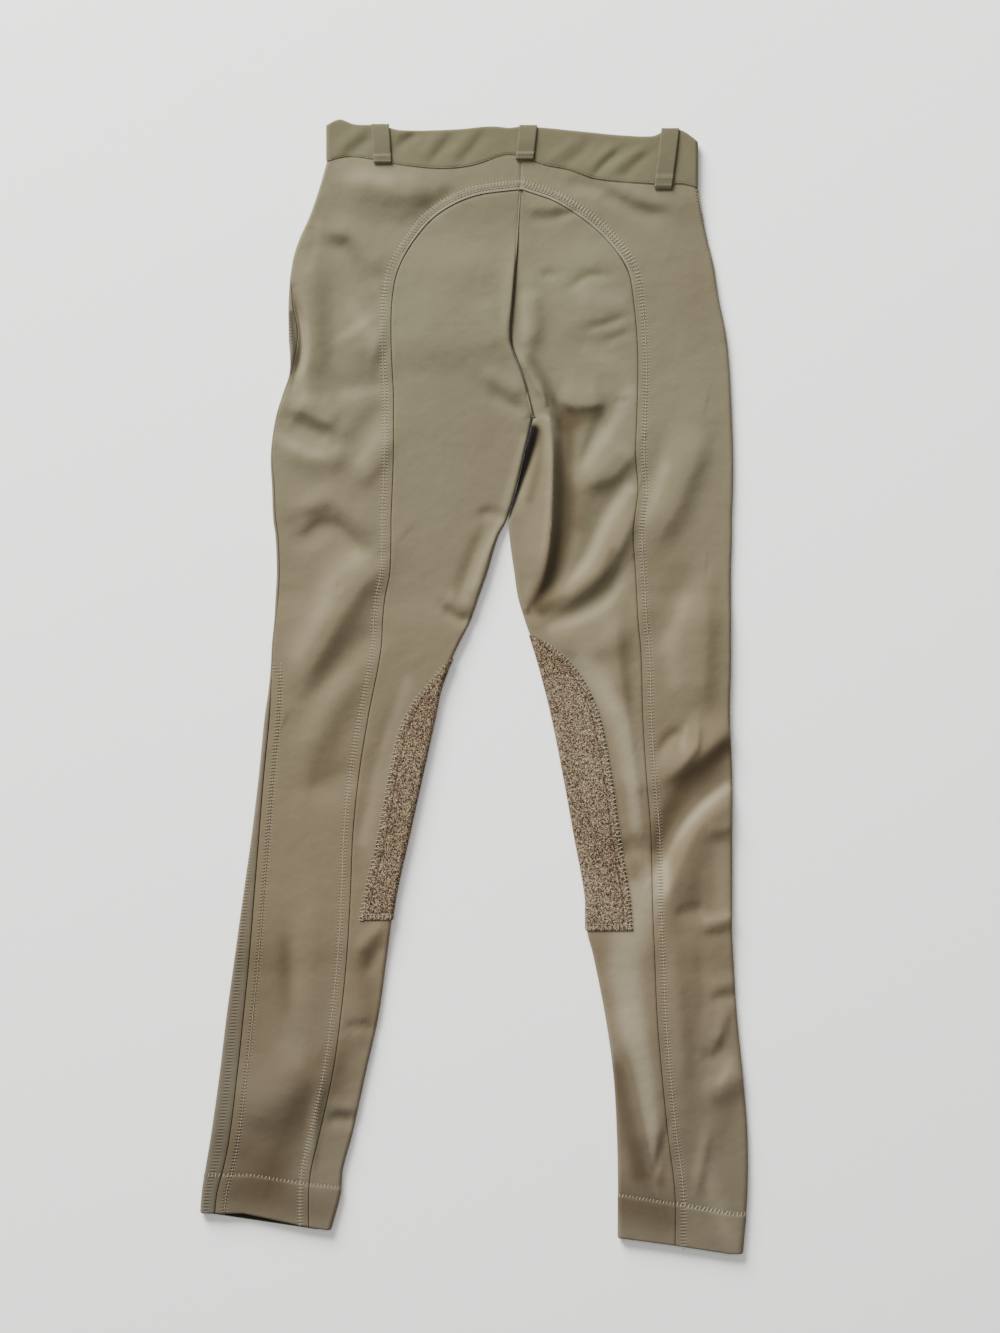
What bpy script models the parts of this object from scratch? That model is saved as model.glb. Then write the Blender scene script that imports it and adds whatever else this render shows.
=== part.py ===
"""Riding breeches laid flat with the back up, as the separate pieces of cloth that are sewn together.

The front lies on the surface at Z = 0 and the back faces +Z. The waist is towards +Y, the hems towards -Y.
Working sizes are in millimetres: `x` is to the viewer's right of the middle of the garment, `down` is the
distance below the highest point of the waistband, and `up` is the height above the surface. Every piece is
a wall of cloth: a sheet of outer points with the outward normal at each, and the same points moved inwards
by the cloth's thickness.
"""
import math

import bmesh
import bpy
from mathutils import Vector

MM = 0.001
HALF_LENGTH = 476.0         # half of the garment's length, waistband to lower hem
CLOTH = 1.2                 # one layer of the stretch cloth
BAND_CLOTH = 2.4            # the waistband is double cloth
PATCH_CLOTH = 1.0
LOOP_CLOTH = 1.4
SEAM_GAP = 0.3              # clear space between two pieces at a seam
SIDE_SEAM_GAP = 0.7         # the same at a side seam, measured on the outside of the folded edge
PATCH_GAP = 0.5             # clear space between a patch and the cloth under it
LEG_GAP = 0.5               # clear space between the two legs where they lie against each other
CROTCH_DOWN = 250.0
INSEAM_REACH = 14.0         # how far the inseam lies in from the inner edge, on the underside
HEM_DEPTH_ROWS = 2
ARCH_CELLS = 6              # columns of a seat panel, which its arched top edge shares
ARCH_RUN = 95.0             # length of the arch that is a seat panel's top edge
SHOULDER_ROW = ARCH_CELLS + 1
CROTCH_ROW = SHOULDER_ROW + 7
SHOULDER_OUTER = 148.0      # where the row from the arch's shoulder meets the outer edge
CROTCH_OUTER = 262.0
CROTCH_SEAM = 256.0
THIGH_ROWS, KNEE_ROWS, CALF_ROWS = 7, 8, 8
FLAT_CELLS = 5              # columns of a panel between its folded edge and its seam
PATCH_CELLS = 4             # columns of a patch on each side of the folded edge
ROUND_REACH = (2.4, 0.8, -0.8, -2.4)    # columns round a folded edge, above (+) and under (-) its middle
LEAST_CELL = 0.8

# The waistband: its lower seam and its top edge, measured down, at places across the back.
WAIST = (
    # x, seam, top
    (-122, 36, 4), (-112, 33, 0), (-100, 32, 4), (-80, 35, 5), (-60, 39, 9), (-30, 42, 9), (-10, 41, 8),
    (0, 39, 7), (10, 36, 6), (20, 32, 6), (30, 30, 7), (40, 32, 6), (60, 39, 7), (80, 43, 9), (100, 50, 11),
    (120, 53, 13), (150, 55, 14), (160, 56, 10), (174, 55, 9), (188, 58, 18))

# The centre-back seam, from the waistband down to the crotch.
CENTRE_BACK = (
    # down, x
    (28, 40), (60, 39), (100, 37), (150, 33), (185, 31), (200, 35), (220, 43), (CROTCH_DOWN, 50))

# Each leg's sections. side_seam is how far the side seam lies above (+) or under (-) the outer edge.
LEFT_SECTIONS = (
    # down, outer, side_seam, back_seam, inner
    (36, -123, -4, None, None), (60, -130, -3, None, None), (80, -137, -1, None, None),
    (100, -146, 0, None, None), (120, -152, 1, None, None), (150, -155, 5, None, None),
    (180, -155, 10, -69, None), (210, -154, 4, -68, None), (230, -160, 3, -67, None), (250, -166, 3, -67, 50),
    (280, -170, 3, -67, 43), (310, -169, 4, -68, 36), (335, -168, 4, -69, 28.5), (350, -166, 4, -69, 21),
    (380, -165, 4, -70, 12), (400, -166, 4, -74, 5), (420, -167, 3, -76, -2), (440, -169, 3, -77, -12),
    (460, -170, 3, -80, -21), (480, -172, 4, -84, -28), (500, -175, 6, -88, -32), (550, -180, 6, -96, -43),
    (600, -186, 8, -101, -54), (650, -193, 11, -103, -65), (700, -200, 14, -106, -72),
    (750, -207, 16, -111, -79), (800, -213, 17, -118, -90), (850, -220, 18, -129, -101),
    (880, -225, 17, -136, -109), (900, -228, 15, -138, -111), (930, -230, 14, -138, -119))
RIGHT_SECTIONS = (
    # down, outer, side_seam, back_seam, inner
    (58, 188, -6, None, None), (80, 192, -7, None, None), (100, 196, -8, None, None),
    (120, 201, -8, None, None), (150, 206, -9, None, None), (180, 212, -9, 137, None),
    (210, 215, -9, 138, None), (250, 217, -9, 137, 50), (280, 218, -9, 136, 43), (310, 218, -9, 138, 36),
    (335, 217, -9, 135, 29.5), (350, 217, -9, 134, 30), (380, 216, -8, 136, 34), (400, 216, -8, 137, 37),
    (420, 216, -8, 138, 43), (440, 216, -8, 140, 50), (460, 216, -8, 141, 56), (500, 215, -8, 142, 66),
    (550, 217, -8, 145, 76), (600, 217, -8, 149, 85), (650, 217, -8, 150, 94), (680, 217, -9, 151, 95),
    (700, 218, -9, 152, 100), (750, 221, -9, 154, 110), (800, 226, -10, 158, 117), (850, 230, -10, 163, 120),
    (900, 230, -11, 169, 121), (950, 226, -11, 169, 121))

# The arched seam across the seat, from the centre back to where it turns down the leg.
LEFT_ARCH = ((40, 59), (0, 65), (-30, 80), (-50, 102), (-63, 126), (-68, 150))
RIGHT_ARCH = ((40, 59), (70, 70), (100, 90), (120, 111), (130, 128), (134, 150))

# Hems: the stitch row and the folded edge, measured down at the outer and at the inner edge of the leg.
LEFT_HEM = {"outer": (885, 917), "inner": (895, 931)}
RIGHT_HEM = {"outer": (918, 951), "inner": (902, 938)}

# Knee patches: how far they reach from the inner edge, over the back and over the front.
LEFT_PATCH = (
    # down, back_reach, front_reach
    (452, 3, 4), (470, 11, 24), (490, 22, 48), (510, 28, 62), (540, 29, 74), (600, 27, 76), (671, 28, 70))
RIGHT_PATCH = (
    (432, 4, 4), (450, 24, 22), (470, 35, 42), (500, 41, 56), (550, 41, 62), (600, 39, 62), (640, 38, 60),
    (680, 40, 57))

# Belt loops on the back: centre at the waistband's top edge and at its seam.
LOOP_WIDTH = 15.0
LOOP_ARCH = 2.2             # how far a back loop stands off the waistband at its middle
LOOPS = (
    # name, x_top, x_seam
    ("left", -78, -76), ("centre", 46, 43), ("right", 165, 159))
FRONT_LOOPS = (("front_left", -60), ("front_right", 120))

# How far the cloth that lies on a loop or a patch is lifted off the surface, and over which stretch.
LIFTS = (
    # from_down, to_down, lift
    (-20, 62, 1.8), (425, 688, 1.6))
LIFT_RAMP = 30.0

# Height of the back above the front's underside, from the layers between them.
LOFT = (
    # down, height
    (0, 5.4), (62, 5.3), (110, 4.4), (200, 4.2), (860, 4.2), (895, 6.4), (955, 6.4))

# The largest folds of the back: soft ridges (+) and troughs (-) from one end to the other.
FOLDS = (
    # name, x, down, to_x, to_down, half_width, height
    ("left hip ridge", -139, 138, -138, 234, 14, 4.5),
    ("left seat ridge", -104, 196, -60, 194, 16, 3.5),
    ("left thigh ridge", -104, 385, -150, 480, 22, 5.0),
    ("left thigh trough", -74, 400, -128, 495, 20, -1.5),
    ("left knee ridge", -120, 560, -128, 640, 24, 3.0),
    ("left calf ridge", -129, 789, -175, 822, 24, 4.5),
    ("right hip ridge", 92, 80, 150, 112, 18, 3.0),
    ("right seat ridge", 48, 196, 104, 214, 18, 3.5),
    ("crotch ridge", 66, 256, 62, 385, 13, 5.5),
    ("right thigh ridge", 130, 300, 76, 398, 18, 5.0),
    ("right outer ridge", 176, 270, 160, 345, 22, 3.5),
    ("right lower thigh ridge", 178, 396, 158, 452, 20, 4.0),
    ("right knee ridge", 206, 562, 160, 622, 18, 4.5),
    ("right calf ridge", 118, 772, 142, 864, 16, 4.0))

COLOURS = {
    # sRGB
    "seat": (150, 142, 123), "side": (140, 129, 108), "front": (138, 127, 106), "band": (133, 128, 105),
    "patch": (143, 128, 110), "loop": (136, 130, 107), "hem": (120, 109, 90)}


# ---------------------------------------------------------------- smooth lines and heights

def smooth(keys, at):
    """Value at `at` of the smooth curve through (place, value) keys."""
    if at <= keys[0][0]:
        return float(keys[0][1])
    if at >= keys[-1][0]:
        return float(keys[-1][1])
    low = max(i for i, key in enumerate(keys) if key[0] <= at)
    (a, u), (b, v) = keys[low], keys[low + 1]

    def slope(i):
        before, after = keys[max(i - 1, 0)], keys[min(i + 1, len(keys) - 1)]
        return (after[1] - before[1]) / (after[0] - before[0])

    span = b - a
    t = (at - a) / span
    rise, lean_low, lean_high = v - u, slope(low) * span, slope(low + 1) * span
    return u + t * (lean_low + t * (3 * rise - 2 * lean_low - lean_high
                                    + t * (lean_low + lean_high - 2 * rise)))


def column(table, place, value):
    """Two columns of a table as keys, leaving out the rows where the value is None."""
    return [(row[place], row[value]) for row in table if row[value] is not None]


def mix(a, b, share):
    return a + (b - a) * share


def ease(share):
    share = min(max(share, 0.0), 1.0)
    return share * share * (3 - 2 * share)


class Path:
    """A smooth line on the flat through key points (x, down), measured along its run."""

    def __init__(self, keys, steps=12):
        runs = [0.0]
        for (x, down), (next_x, next_down) in zip(keys, keys[1:]):
            runs.append(runs[-1] + math.hypot(next_x - x, next_down - down))
        along_x = [(run, key[0]) for run, key in zip(runs, keys)]
        along_down = [(run, key[1]) for run, key in zip(runs, keys)]
        self.points = []
        for start, end in zip(runs, runs[1:]):
            for step in range(steps):
                run = mix(start, end, step / steps)
                self.points.append(Vector((smooth(along_x, run), smooth(along_down, run))))
        self.points.append(Vector((keys[-1][0], keys[-1][1])))
        self.runs = [0.0]
        for here, there in zip(self.points, self.points[1:]):
            self.runs.append(self.runs[-1] + (there - here).length)

    def at(self, run):
        run = min(max(run, 0.0), self.runs[-1])
        low = max(i for i, value in enumerate(self.runs[:-1]) if value <= run)
        share = (run - self.runs[low]) / (self.runs[low + 1] - self.runs[low])
        return self.points[low].lerp(self.points[low + 1], share)

    def run_at_down(self, down):
        """The run at which the line, past its arch, is `down` below the top."""
        for low in range(len(self.points) - 1, 0, -1):
            if self.points[low - 1].y <= down:
                break
        step = self.points[low].y - self.points[low - 1].y
        share = (down - self.points[low - 1].y) / step
        return mix(self.runs[low - 1], self.runs[low], share)

    def beside(self, run, offset):
        """The point at `run`, moved `offset` to the side that the line turns away from going left."""
        ahead, behind = self.at(run + 1.0), self.at(run - 1.0)
        along = (ahead - behind).normalized()
        return self.at(run) + Vector((along.y, -along.x)) * offset


WAIST_SEAM = [(row[0], row[1]) for row in WAIST]
WAIST_TOP = [(row[0], row[2]) for row in WAIST]


def under(down):
    """Height of the outer face of the underside."""
    height = 0.0
    for start, end, lift in LIFTS:
        height += lift * ease((down - start) / LIFT_RAMP + 1) * ease((end - down) / LIFT_RAMP + 1)
    return height


def fold_height(x, down, fold):
    """A fold's height at a place: a rounded crest that dies away beyond both of its ends."""
    _, from_x, from_down, to_x, to_down, half_width, height = fold
    start, end, place = Vector((from_x, from_down)), Vector((to_x, to_down)), Vector((x, down))
    run = end - start
    share = (place - start).dot(run) / run.length_squared
    nearest = start + run * min(max(share, 0.0), 1.0)
    return height * math.exp(-((place - nearest).length / half_width) ** 2)


def top(x, down):
    """Height of the outer face of the back."""
    least = smooth(LOFT, down)
    folds = sum(fold_height(x, down, fold) for fold in FOLDS)
    soft = 0.5 * (folds + math.sqrt(folds * folds + 0.5))
    return under(down) + least + soft


def face_point(x, down, upper):
    """Outer point and outward normal on the flat stretch of the back or of the underside."""
    if not upper:
        return Vector((x, down, under(down))), Vector((0, 0, -1))
    step = 1.0
    lean_x = (top(x + step, down) - top(x - step, down)) / (2 * step)
    lean_down = (top(x, down + step) - top(x, down - step)) / (2 * step)
    return Vector((x, down, top(x, down))), Vector((-lean_x, -lean_down, 1)).normalized()


def fold_half(edge_x, inward, down):
    """Half of the garment's height at a folded edge, which is the fold's radius."""
    return (top(edge_x + inward * 3.0, down) - under(down)) / 2


def inset(half, reach):
    """How far in from the edge a point lies that is `reach` of cloth away from its middle."""
    quarter = half * math.pi / 2
    run = abs(reach)
    return half * (1 - math.cos(run / half)) if run < quarter else half + run - quarter


def edge_point(edge_x, inward, down, reach):
    """Outer point and normal round a folded edge, `reach` of cloth above (+) or under (-) its middle."""
    half = fold_half(edge_x, inward, down)
    side = 1 if reach >= 0 else -1
    if abs(reach) >= half * math.pi / 2:
        return face_point(edge_x + inward * inset(half, reach), down, side > 0)
    turn = abs(reach) / half
    middle = under(down) + half
    point = Vector((edge_x + inward * inset(half, reach), down, middle + side * half * math.sin(turn)))
    return point, Vector((-inward * math.cos(turn), 0, side * math.sin(turn)))


# ---------------------------------------------------------------- the two legs

class Leg:
    """One leg's seams and rows. A row crosses the back and the front at about the same place down."""

    def __init__(self, side, sections, arch, hem, patch):
        self.side, self.patch, self.hem = side, patch, hem
        self.outward = -1 if side == "left" else 1
        self.outer_keys = column(sections, 0, 1)
        self.side_seam_keys = column(sections, 0, 2)
        self.inner_keys = column(sections, 0, 4)
        below = [(row[3], row[0]) for row in sections if row[3] is not None and row[0] > arch[-1][1]]
        self.back_seam = Path(list(arch) + below)
        self.rows = self.plan_rows()

    def outer(self, down):
        return smooth(self.outer_keys, down)

    def inner(self, down):
        gap = self.outward * LEG_GAP / 2
        return smooth(self.inner_keys, down) + gap

    def plan_rows(self):
        """Each row's place down at the outer edge, at the back seam and at the inner boundary."""
        outer_waist = self.outer_keys[0][0]
        shoulder = self.back_seam.at(ARCH_RUN).y
        rows = []
        for row in range(CROTCH_ROW + 1):
            share = row / SHOULDER_ROW
            below = (row - SHOULDER_ROW) / (CROTCH_ROW - SHOULDER_ROW)
            if row <= SHOULDER_ROW:
                outer, seam, back = mix(outer_waist, SHOULDER_OUTER, share), shoulder, 58.0
            else:
                outer = mix(SHOULDER_OUTER, CROTCH_OUTER, below)
                seam, back = mix(shoulder, CROTCH_SEAM, below), mix(58.0, CROTCH_DOWN, below)
            rows.append({"outer": outer, "seam": seam, "back": back,
                         "front": mix(31.0, CROTCH_DOWN, row / CROTCH_ROW)})
        stitch_outer, edge_outer = self.hem["outer"]
        stitch_inner, edge_inner = self.hem["inner"]
        patch_from, patch_to = self.patch[0][0], self.patch[-1][0]
        stretches = (
            (THIGH_ROWS, (CROTCH_OUTER, CROTCH_SEAM, CROTCH_DOWN), (patch_from,) * 3),
            (KNEE_ROWS, (patch_from,) * 3, (patch_to,) * 3),
            (CALF_ROWS, (patch_to,) * 3, (stitch_outer, None, stitch_inner)),
            (HEM_DEPTH_ROWS, (stitch_outer, None, stitch_inner), (edge_outer, None, edge_inner)))
        for count, start, end in stretches:
            start, end = self.with_seam(start), self.with_seam(end)
            for step in range(1, count + 1):
                outer, seam, back = (mix(a, b, step / count) for a, b in zip(start, end))
                rows.append({"outer": outer, "seam": seam, "back": back, "front": back})
        self.patch_rows = (CROTCH_ROW + THIGH_ROWS, CROTCH_ROW + THIGH_ROWS + KNEE_ROWS)
        self.hem_rows = (len(rows) - 1 - HEM_DEPTH_ROWS, len(rows) - 1)
        return rows

    def with_seam(self, places):
        """Fill in where the row crosses the back seam, on the straight line between its ends."""
        outer, seam, inner = places
        if seam is None:
            x = self.back_seam.at(self.back_seam.run_at_down((outer + inner) / 2)).x
            seam = mix(outer, inner, (x - self.outer(outer)) / (self.inner(inner) - self.outer(outer)))
        return outer, seam, inner

    def seam_run(self, row):
        """The run along the back seam at which a row meets it."""
        if row <= SHOULDER_ROW:
            return ARCH_RUN * max(row - 1, 0) / ARCH_CELLS
        return self.back_seam.run_at_down(self.rows[row]["seam"])

    def seam_place(self, row, gap_side):
        """A row's end at the back seam: +1 on the side panel's side of the gap, -1 on the seat panel's."""
        offset = SEAM_GAP / 2 * gap_side * self.outward
        if row == 0:
            x = smooth(CENTRE_BACK, 31.0) + self.outward * SEAM_GAP / 2
            return Vector((x, smooth(WAIST_SEAM, x) + SEAM_GAP / 2))
        place = self.back_seam.beside(self.seam_run(row), offset)
        if row == 1:
            place.x = smooth(CENTRE_BACK, place.y) + self.outward * SEAM_GAP / 2
        return place

    def outer_columns(self, down):
        """Places round the outer edge, for the side panel and for the front panel, meeting at the seam."""
        seam = smooth(self.side_seam_keys, down)
        above = [seam + SIDE_SEAM_GAP / 2]
        for reach in reversed(ROUND_REACH):
            above.insert(0, max(reach, above[0] + LEAST_CELL))
        below = [seam - SIDE_SEAM_GAP / 2]
        for reach in ROUND_REACH:
            below.append(min(reach, below[-1] - LEAST_CELL))
        return above, below

    def run_to(self, place, down, reach, upper, cells, row):
        """The flat stretch of a row, from `place` to just before the folded edge's outermost column."""
        edge_x, inward = self.outer(down), -self.outward
        anchor = edge_x + inward * inset(fold_half(edge_x, inward, down), reach)
        points = []
        for cell in range(cells):
            share = cell / cells
            x, at = mix(place.x, anchor, share), mix(place.y, down, share)
            if row == 0:
                at = smooth(WAIST_SEAM, x) + SEAM_GAP / 2
            points.append(face_point(x, at, upper))
        return points

    def side_row(self, row):
        down = self.rows[row]["outer"]
        reaches, _ = self.outer_columns(down)
        points = self.run_to(self.seam_place(row, 1), down, reaches[0], True, FLAT_CELLS, row)
        for reach in reaches:
            points.append(self.round_point(row, down, reach))
        return points

    def round_point(self, row, down, reach):
        point, normal = edge_point(self.outer(down), -self.outward, down, reach)
        if row == 0:
            point.y = smooth(WAIST_SEAM, point.x) + SEAM_GAP / 2
        return point, normal

    def front_row(self, row):
        down = self.rows[row]["outer"]
        _, reaches = self.outer_columns(down)
        at = self.rows[row]["front"]
        if row < CROTCH_ROW:
            x = smooth(CENTRE_BACK, at) + self.outward * SEAM_GAP / 2
        else:
            x = self.inner(at) + self.outward * self.inset_at(at, self.inseam_reach(at) - SEAM_GAP / 2)
        flat = self.run_to(Vector((x, at)), down, reaches[-1], False, FLAT_CELLS, row)
        return flat + [self.round_point(row, down, reach) for reach in reversed(reaches)]

    def inset_at(self, down, reach):
        return inset(fold_half(self.inner(down), self.outward, down), reach)

    def inseam_reach(self, down):
        """Cloth from the middle of the inner fold to the inseam, under the leg; it starts at the crotch."""
        return -mix(6.0, INSEAM_REACH, ease((down - CROTCH_DOWN) / 60))

    def inner_reaches(self, down):
        return list(ROUND_REACH) + [self.inseam_reach(down) + SEAM_GAP / 2]

    def seat_row(self, row):
        """A row of the seat panel from the back seam inwards; above the crotch it ends at centre back."""
        wrap = len(ROUND_REACH) + 1
        if row == SHOULDER_ROW:
            runs = [ARCH_RUN * (1 - cell / ARCH_CELLS) for cell in range(ARCH_CELLS + 1)]
            places = [self.back_seam.beside(run, -SEAM_GAP / 2 * self.outward) for run in runs]
            places[-1].x = smooth(CENTRE_BACK, places[-1].y) + self.outward * SEAM_GAP / 2
            return [face_point(place.x, place.y, True) for place in places] + [None] * wrap
        start, down = self.seam_place(row, -1), self.rows[row]["back"]
        if row < CROTCH_ROW:
            end_x = smooth(CENTRE_BACK, down) + self.outward * SEAM_GAP / 2
        else:
            end_x = self.inner(down) + self.outward * self.inset_at(down, ROUND_REACH[0])
        places = [start.lerp(Vector((end_x, down)), cell / ARCH_CELLS) for cell in range(ARCH_CELLS + 1)]
        points = [face_point(place.x, place.y, True) for place in places]
        if row < CROTCH_ROW:
            return points + [None] * wrap
        points.pop()
        reaches = self.inner_reaches(down)
        return points + [edge_point(self.inner(down), self.outward, down, reach) for reach in reaches] + [None]

    def patch_row(self, row):
        """A row of the knee patch, over the inner edge from the back to the front."""
        down = self.rows[row]["back"]
        back = smooth(column(self.patch, 0, 1), down)
        front = smooth(column(self.patch, 0, 2), down)
        above = [mix(back, ROUND_REACH[0], cell / PATCH_CELLS) for cell in range(PATCH_CELLS)]
        below = [mix(ROUND_REACH[-1], -front, cell / PATCH_CELLS) for cell in range(1, PATCH_CELLS + 1)]
        reaches = above + list(ROUND_REACH) + below
        return [edge_point(self.inner(down), self.outward, down, reach) for reach in reaches]


LEGS = (Leg("left", LEFT_SECTIONS, LEFT_ARCH, LEFT_HEM, LEFT_PATCH),
        Leg("right", RIGHT_SECTIONS, RIGHT_ARCH, RIGHT_HEM, RIGHT_PATCH))


# ---------------------------------------------------------------- from rows of points to solids

def collection(name):
    made = bpy.data.collections.new(name)
    bpy.context.scene.collection.children.link(made)
    return made


def material(name, colour):
    made = bpy.data.materials.new(name)
    made.use_nodes = True
    shader = made.node_tree.nodes["Principled BSDF"]
    linear = [(value / 255) ** 2.2 for value in COLOURS[colour]]
    shader.inputs["Base Color"].default_value = (*linear, 1)
    shader.inputs["Roughness"].default_value = 0.9
    return made


def moved(rows, outwards):
    """Rows of (point, normal) moved along their normals."""
    return [[cell and (cell[0] + cell[1] * outwards, cell[1]) for cell in row] for row in rows]


def wall(name, rows, thickness, colour, closed=False):
    """A wall of cloth from rows of outer points and normals; None leaves a cell out."""
    mesh = bmesh.new()
    outer, inner = {}, {}
    for i, row in enumerate(rows):
        for j, cell in enumerate(row):
            if cell is None:
                continue
            for layer, depth in ((outer, 0.0), (inner, thickness)):
                place = cell[0] - cell[1] * depth
                layer[i, j] = mesh.verts.new((place.x * MM, (HALF_LENGTH - place.y) * MM, place.z * MM))
    columns = len(rows[0])
    cells = []
    for i in range(len(rows) - 1):
        for j in range(columns if closed else columns - 1):
            after = (j + 1) % columns
            corners = ((i, j), (i + 1, j), (i + 1, after), (i, after))
            if all(corner in outer for corner in corners):
                cells.append(corners)
    edges = {(a, b) for corners in cells for a, b in zip(corners, corners[1:] + corners[:1])}
    for corners in cells:
        mesh.faces.new([outer[corner] for corner in corners])
        mesh.faces.new([inner[corner] for corner in reversed(corners)])
    for a, b in sorted(edges):
        if (b, a) not in edges:
            mesh.faces.new((outer[b], outer[a], inner[a], inner[b]))
    bmesh.ops.delete(mesh, geom=[vert for vert in mesh.verts if not vert.link_faces], context="VERTS")
    bmesh.ops.recalc_face_normals(mesh, faces=mesh.faces)
    data = bpy.data.meshes.new(name)
    mesh.to_mesh(data)
    mesh.free()
    data.materials.append(material(name, colour))
    made = bpy.data.objects.new(name, data)
    GARMENT.objects.link(made)
    return made


def build_panels(leg):
    rows = range(len(leg.rows))
    wall(f"side_panel_{leg.side}", [leg.side_row(row) for row in rows], CLOTH, "side")
    wall(f"front_panel_{leg.side}", [leg.front_row(row) for row in rows], CLOTH, "front")
    seat_rows = [leg.seat_row(row) for row in rows if row >= SHOULDER_ROW]
    wall(f"seat_panel_{leg.side}", seat_rows, CLOTH, "seat")


def build_knee_patch(leg):
    first, last = leg.patch_rows
    rows = [leg.patch_row(row) for row in range(first, last + 1)]
    wall(f"knee_patch_{leg.side}", moved(rows, PATCH_GAP + PATCH_CLOTH), PATCH_CLOTH, "patch")


def build_hem_turnup(leg):
    """The turned-up cloth: a ring inside the leg's end, made from the panels' own points."""
    first, last = leg.hem_rows
    rows = []
    for row in range(first, last + 1):
        seat = [cell for cell in leg.seat_row(row) if cell]
        rows.append(leg.side_row(row)[1:-1] + list(reversed(leg.front_row(row)[1:-1]))
                    + list(reversed(seat[1:-1])))
    wall(f"hem_turnup_{leg.side}", moved(rows, -CLOTH - SEAM_GAP), CLOTH, "hem", closed=True)


def build_waistband():
    """One double strip round both edges; its ends meet at the centre front."""
    left, right = LEGS
    seam_row = left.front_row(0)
    seam_row += list(reversed(left.side_row(0)[1:-1])) + [left.side_row(0)[0]]
    seam_row += right.side_row(0)[1:-1] + list(reversed(right.front_row(0)))
    rows = []
    for share in (0.0, 0.5, 1.0):
        row = []
        for point, normal in seam_row:
            down = mix(smooth(WAIST_SEAM, point.x) - SEAM_GAP / 2, smooth(WAIST_TOP, point.x), share)
            row.append((Vector((point.x, down, point.z)), normal))
        rows.append(row)
    wall("waistband", rows, BAND_CLOTH, "band")


def build_back_loop(name, x_top, x_seam):
    """A loop sewn down at the band's seam and at its top edge, standing off the band between them."""
    rows = []
    steps = 8
    for step in range(steps + 1):
        share = step / steps
        middle = mix(x_top, x_seam, share)
        from_down, to_down = smooth(WAIST_TOP, middle) + 0.5, smooth(WAIST_SEAM, middle) - 1.0
        down = mix(from_down, to_down, share)
        stand = LOOP_ARCH * math.sin(math.pi * share) ** 0.7 if 0 < step < steps else 0.0
        row = []
        for across in (-0.5, 0.0, 0.5):
            x = middle + across * LOOP_WIDTH
            up = top(x, down) + SEAM_GAP + LOOP_CLOTH + stand
            row.append((Vector((x, down, up)), Vector((0, 0, 1))))
        rows.append(row)
    wall(f"belt_loop_{name}", rows, LOOP_CLOTH, "loop")


def build_front_loop(name, x):
    """A plain loop pressed flat between the band and the surface."""
    rows = []
    for down in (smooth(WAIST_SEAM, x) - 2.0, smooth(WAIST_TOP, x) + 2.0):
        rows.append([(Vector((x + across * LOOP_WIDTH, down, 0.0)), Vector((0, 0, -1)))
                     for across in (-0.5, 0.5)])
    wall(f"belt_loop_{name}", rows, LOOP_CLOTH, "loop")


for old in list(bpy.data.objects):
    bpy.data.objects.remove(old, do_unlink=True)
GARMENT = collection("riding_breeches")
for leg in LEGS:
    build_panels(leg)
    build_knee_patch(leg)
    build_hem_turnup(leg)
build_waistband()
for loop in LOOPS:
    build_back_loop(*loop)
for loop in FRONT_LOOPS:
    build_front_loop(*loop)
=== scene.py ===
import math

import bpy
import numpy as np
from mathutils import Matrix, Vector

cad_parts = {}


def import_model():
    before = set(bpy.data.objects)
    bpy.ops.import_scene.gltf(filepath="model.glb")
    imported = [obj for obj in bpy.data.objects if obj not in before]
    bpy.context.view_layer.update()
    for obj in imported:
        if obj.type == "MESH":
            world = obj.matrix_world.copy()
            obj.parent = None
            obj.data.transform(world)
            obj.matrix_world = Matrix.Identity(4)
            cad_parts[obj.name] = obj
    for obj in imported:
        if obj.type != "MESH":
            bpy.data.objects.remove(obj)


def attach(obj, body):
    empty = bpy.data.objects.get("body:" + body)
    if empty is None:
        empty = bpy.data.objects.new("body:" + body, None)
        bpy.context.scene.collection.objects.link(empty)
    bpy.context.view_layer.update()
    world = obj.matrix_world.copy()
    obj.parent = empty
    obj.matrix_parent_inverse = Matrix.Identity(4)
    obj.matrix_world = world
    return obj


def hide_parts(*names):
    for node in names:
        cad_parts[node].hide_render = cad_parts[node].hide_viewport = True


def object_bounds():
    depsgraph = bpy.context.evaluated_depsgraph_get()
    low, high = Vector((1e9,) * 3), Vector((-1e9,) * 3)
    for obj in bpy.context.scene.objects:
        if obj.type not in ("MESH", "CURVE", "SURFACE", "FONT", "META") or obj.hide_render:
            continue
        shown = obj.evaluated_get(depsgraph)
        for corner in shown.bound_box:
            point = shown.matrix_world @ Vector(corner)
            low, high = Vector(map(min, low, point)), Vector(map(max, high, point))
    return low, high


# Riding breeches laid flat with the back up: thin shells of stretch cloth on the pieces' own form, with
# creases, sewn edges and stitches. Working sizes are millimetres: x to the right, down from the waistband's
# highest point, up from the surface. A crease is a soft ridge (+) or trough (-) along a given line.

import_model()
cad_low, cad_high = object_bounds()

# ---------------------------------------------------------------- sizes shared with the solids

MM = 0.001
HALF_LENGTH = 476.0
CLOTH, BAND_CLOTH, PATCH_CLOTH, LOOP_CLOTH = 1.2, 2.4, 1.0, 1.4
SEAM_GAP, SIDE_SEAM_GAP, PATCH_GAP, LEG_GAP = 0.12, 0.5, 0.2, 0.5
CROTCH_DOWN, INSEAM_REACH = 250.0, 14.0
ARCH_CELLS, ARCH_RUN = 6, 95.0
SHOULDER_ROW, CROTCH_ROW = 7, 14
SHOULDER_OUTER, CROTCH_OUTER, CROTCH_SEAM = 148.0, 262.0, 256.0
THIGH_ROWS, KNEE_ROWS, CALF_ROWS, HEM_ROWS = 7, 8, 8, 2
LOOP_WIDTH, LOOP_ARCH = 15.0, 2.2

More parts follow.
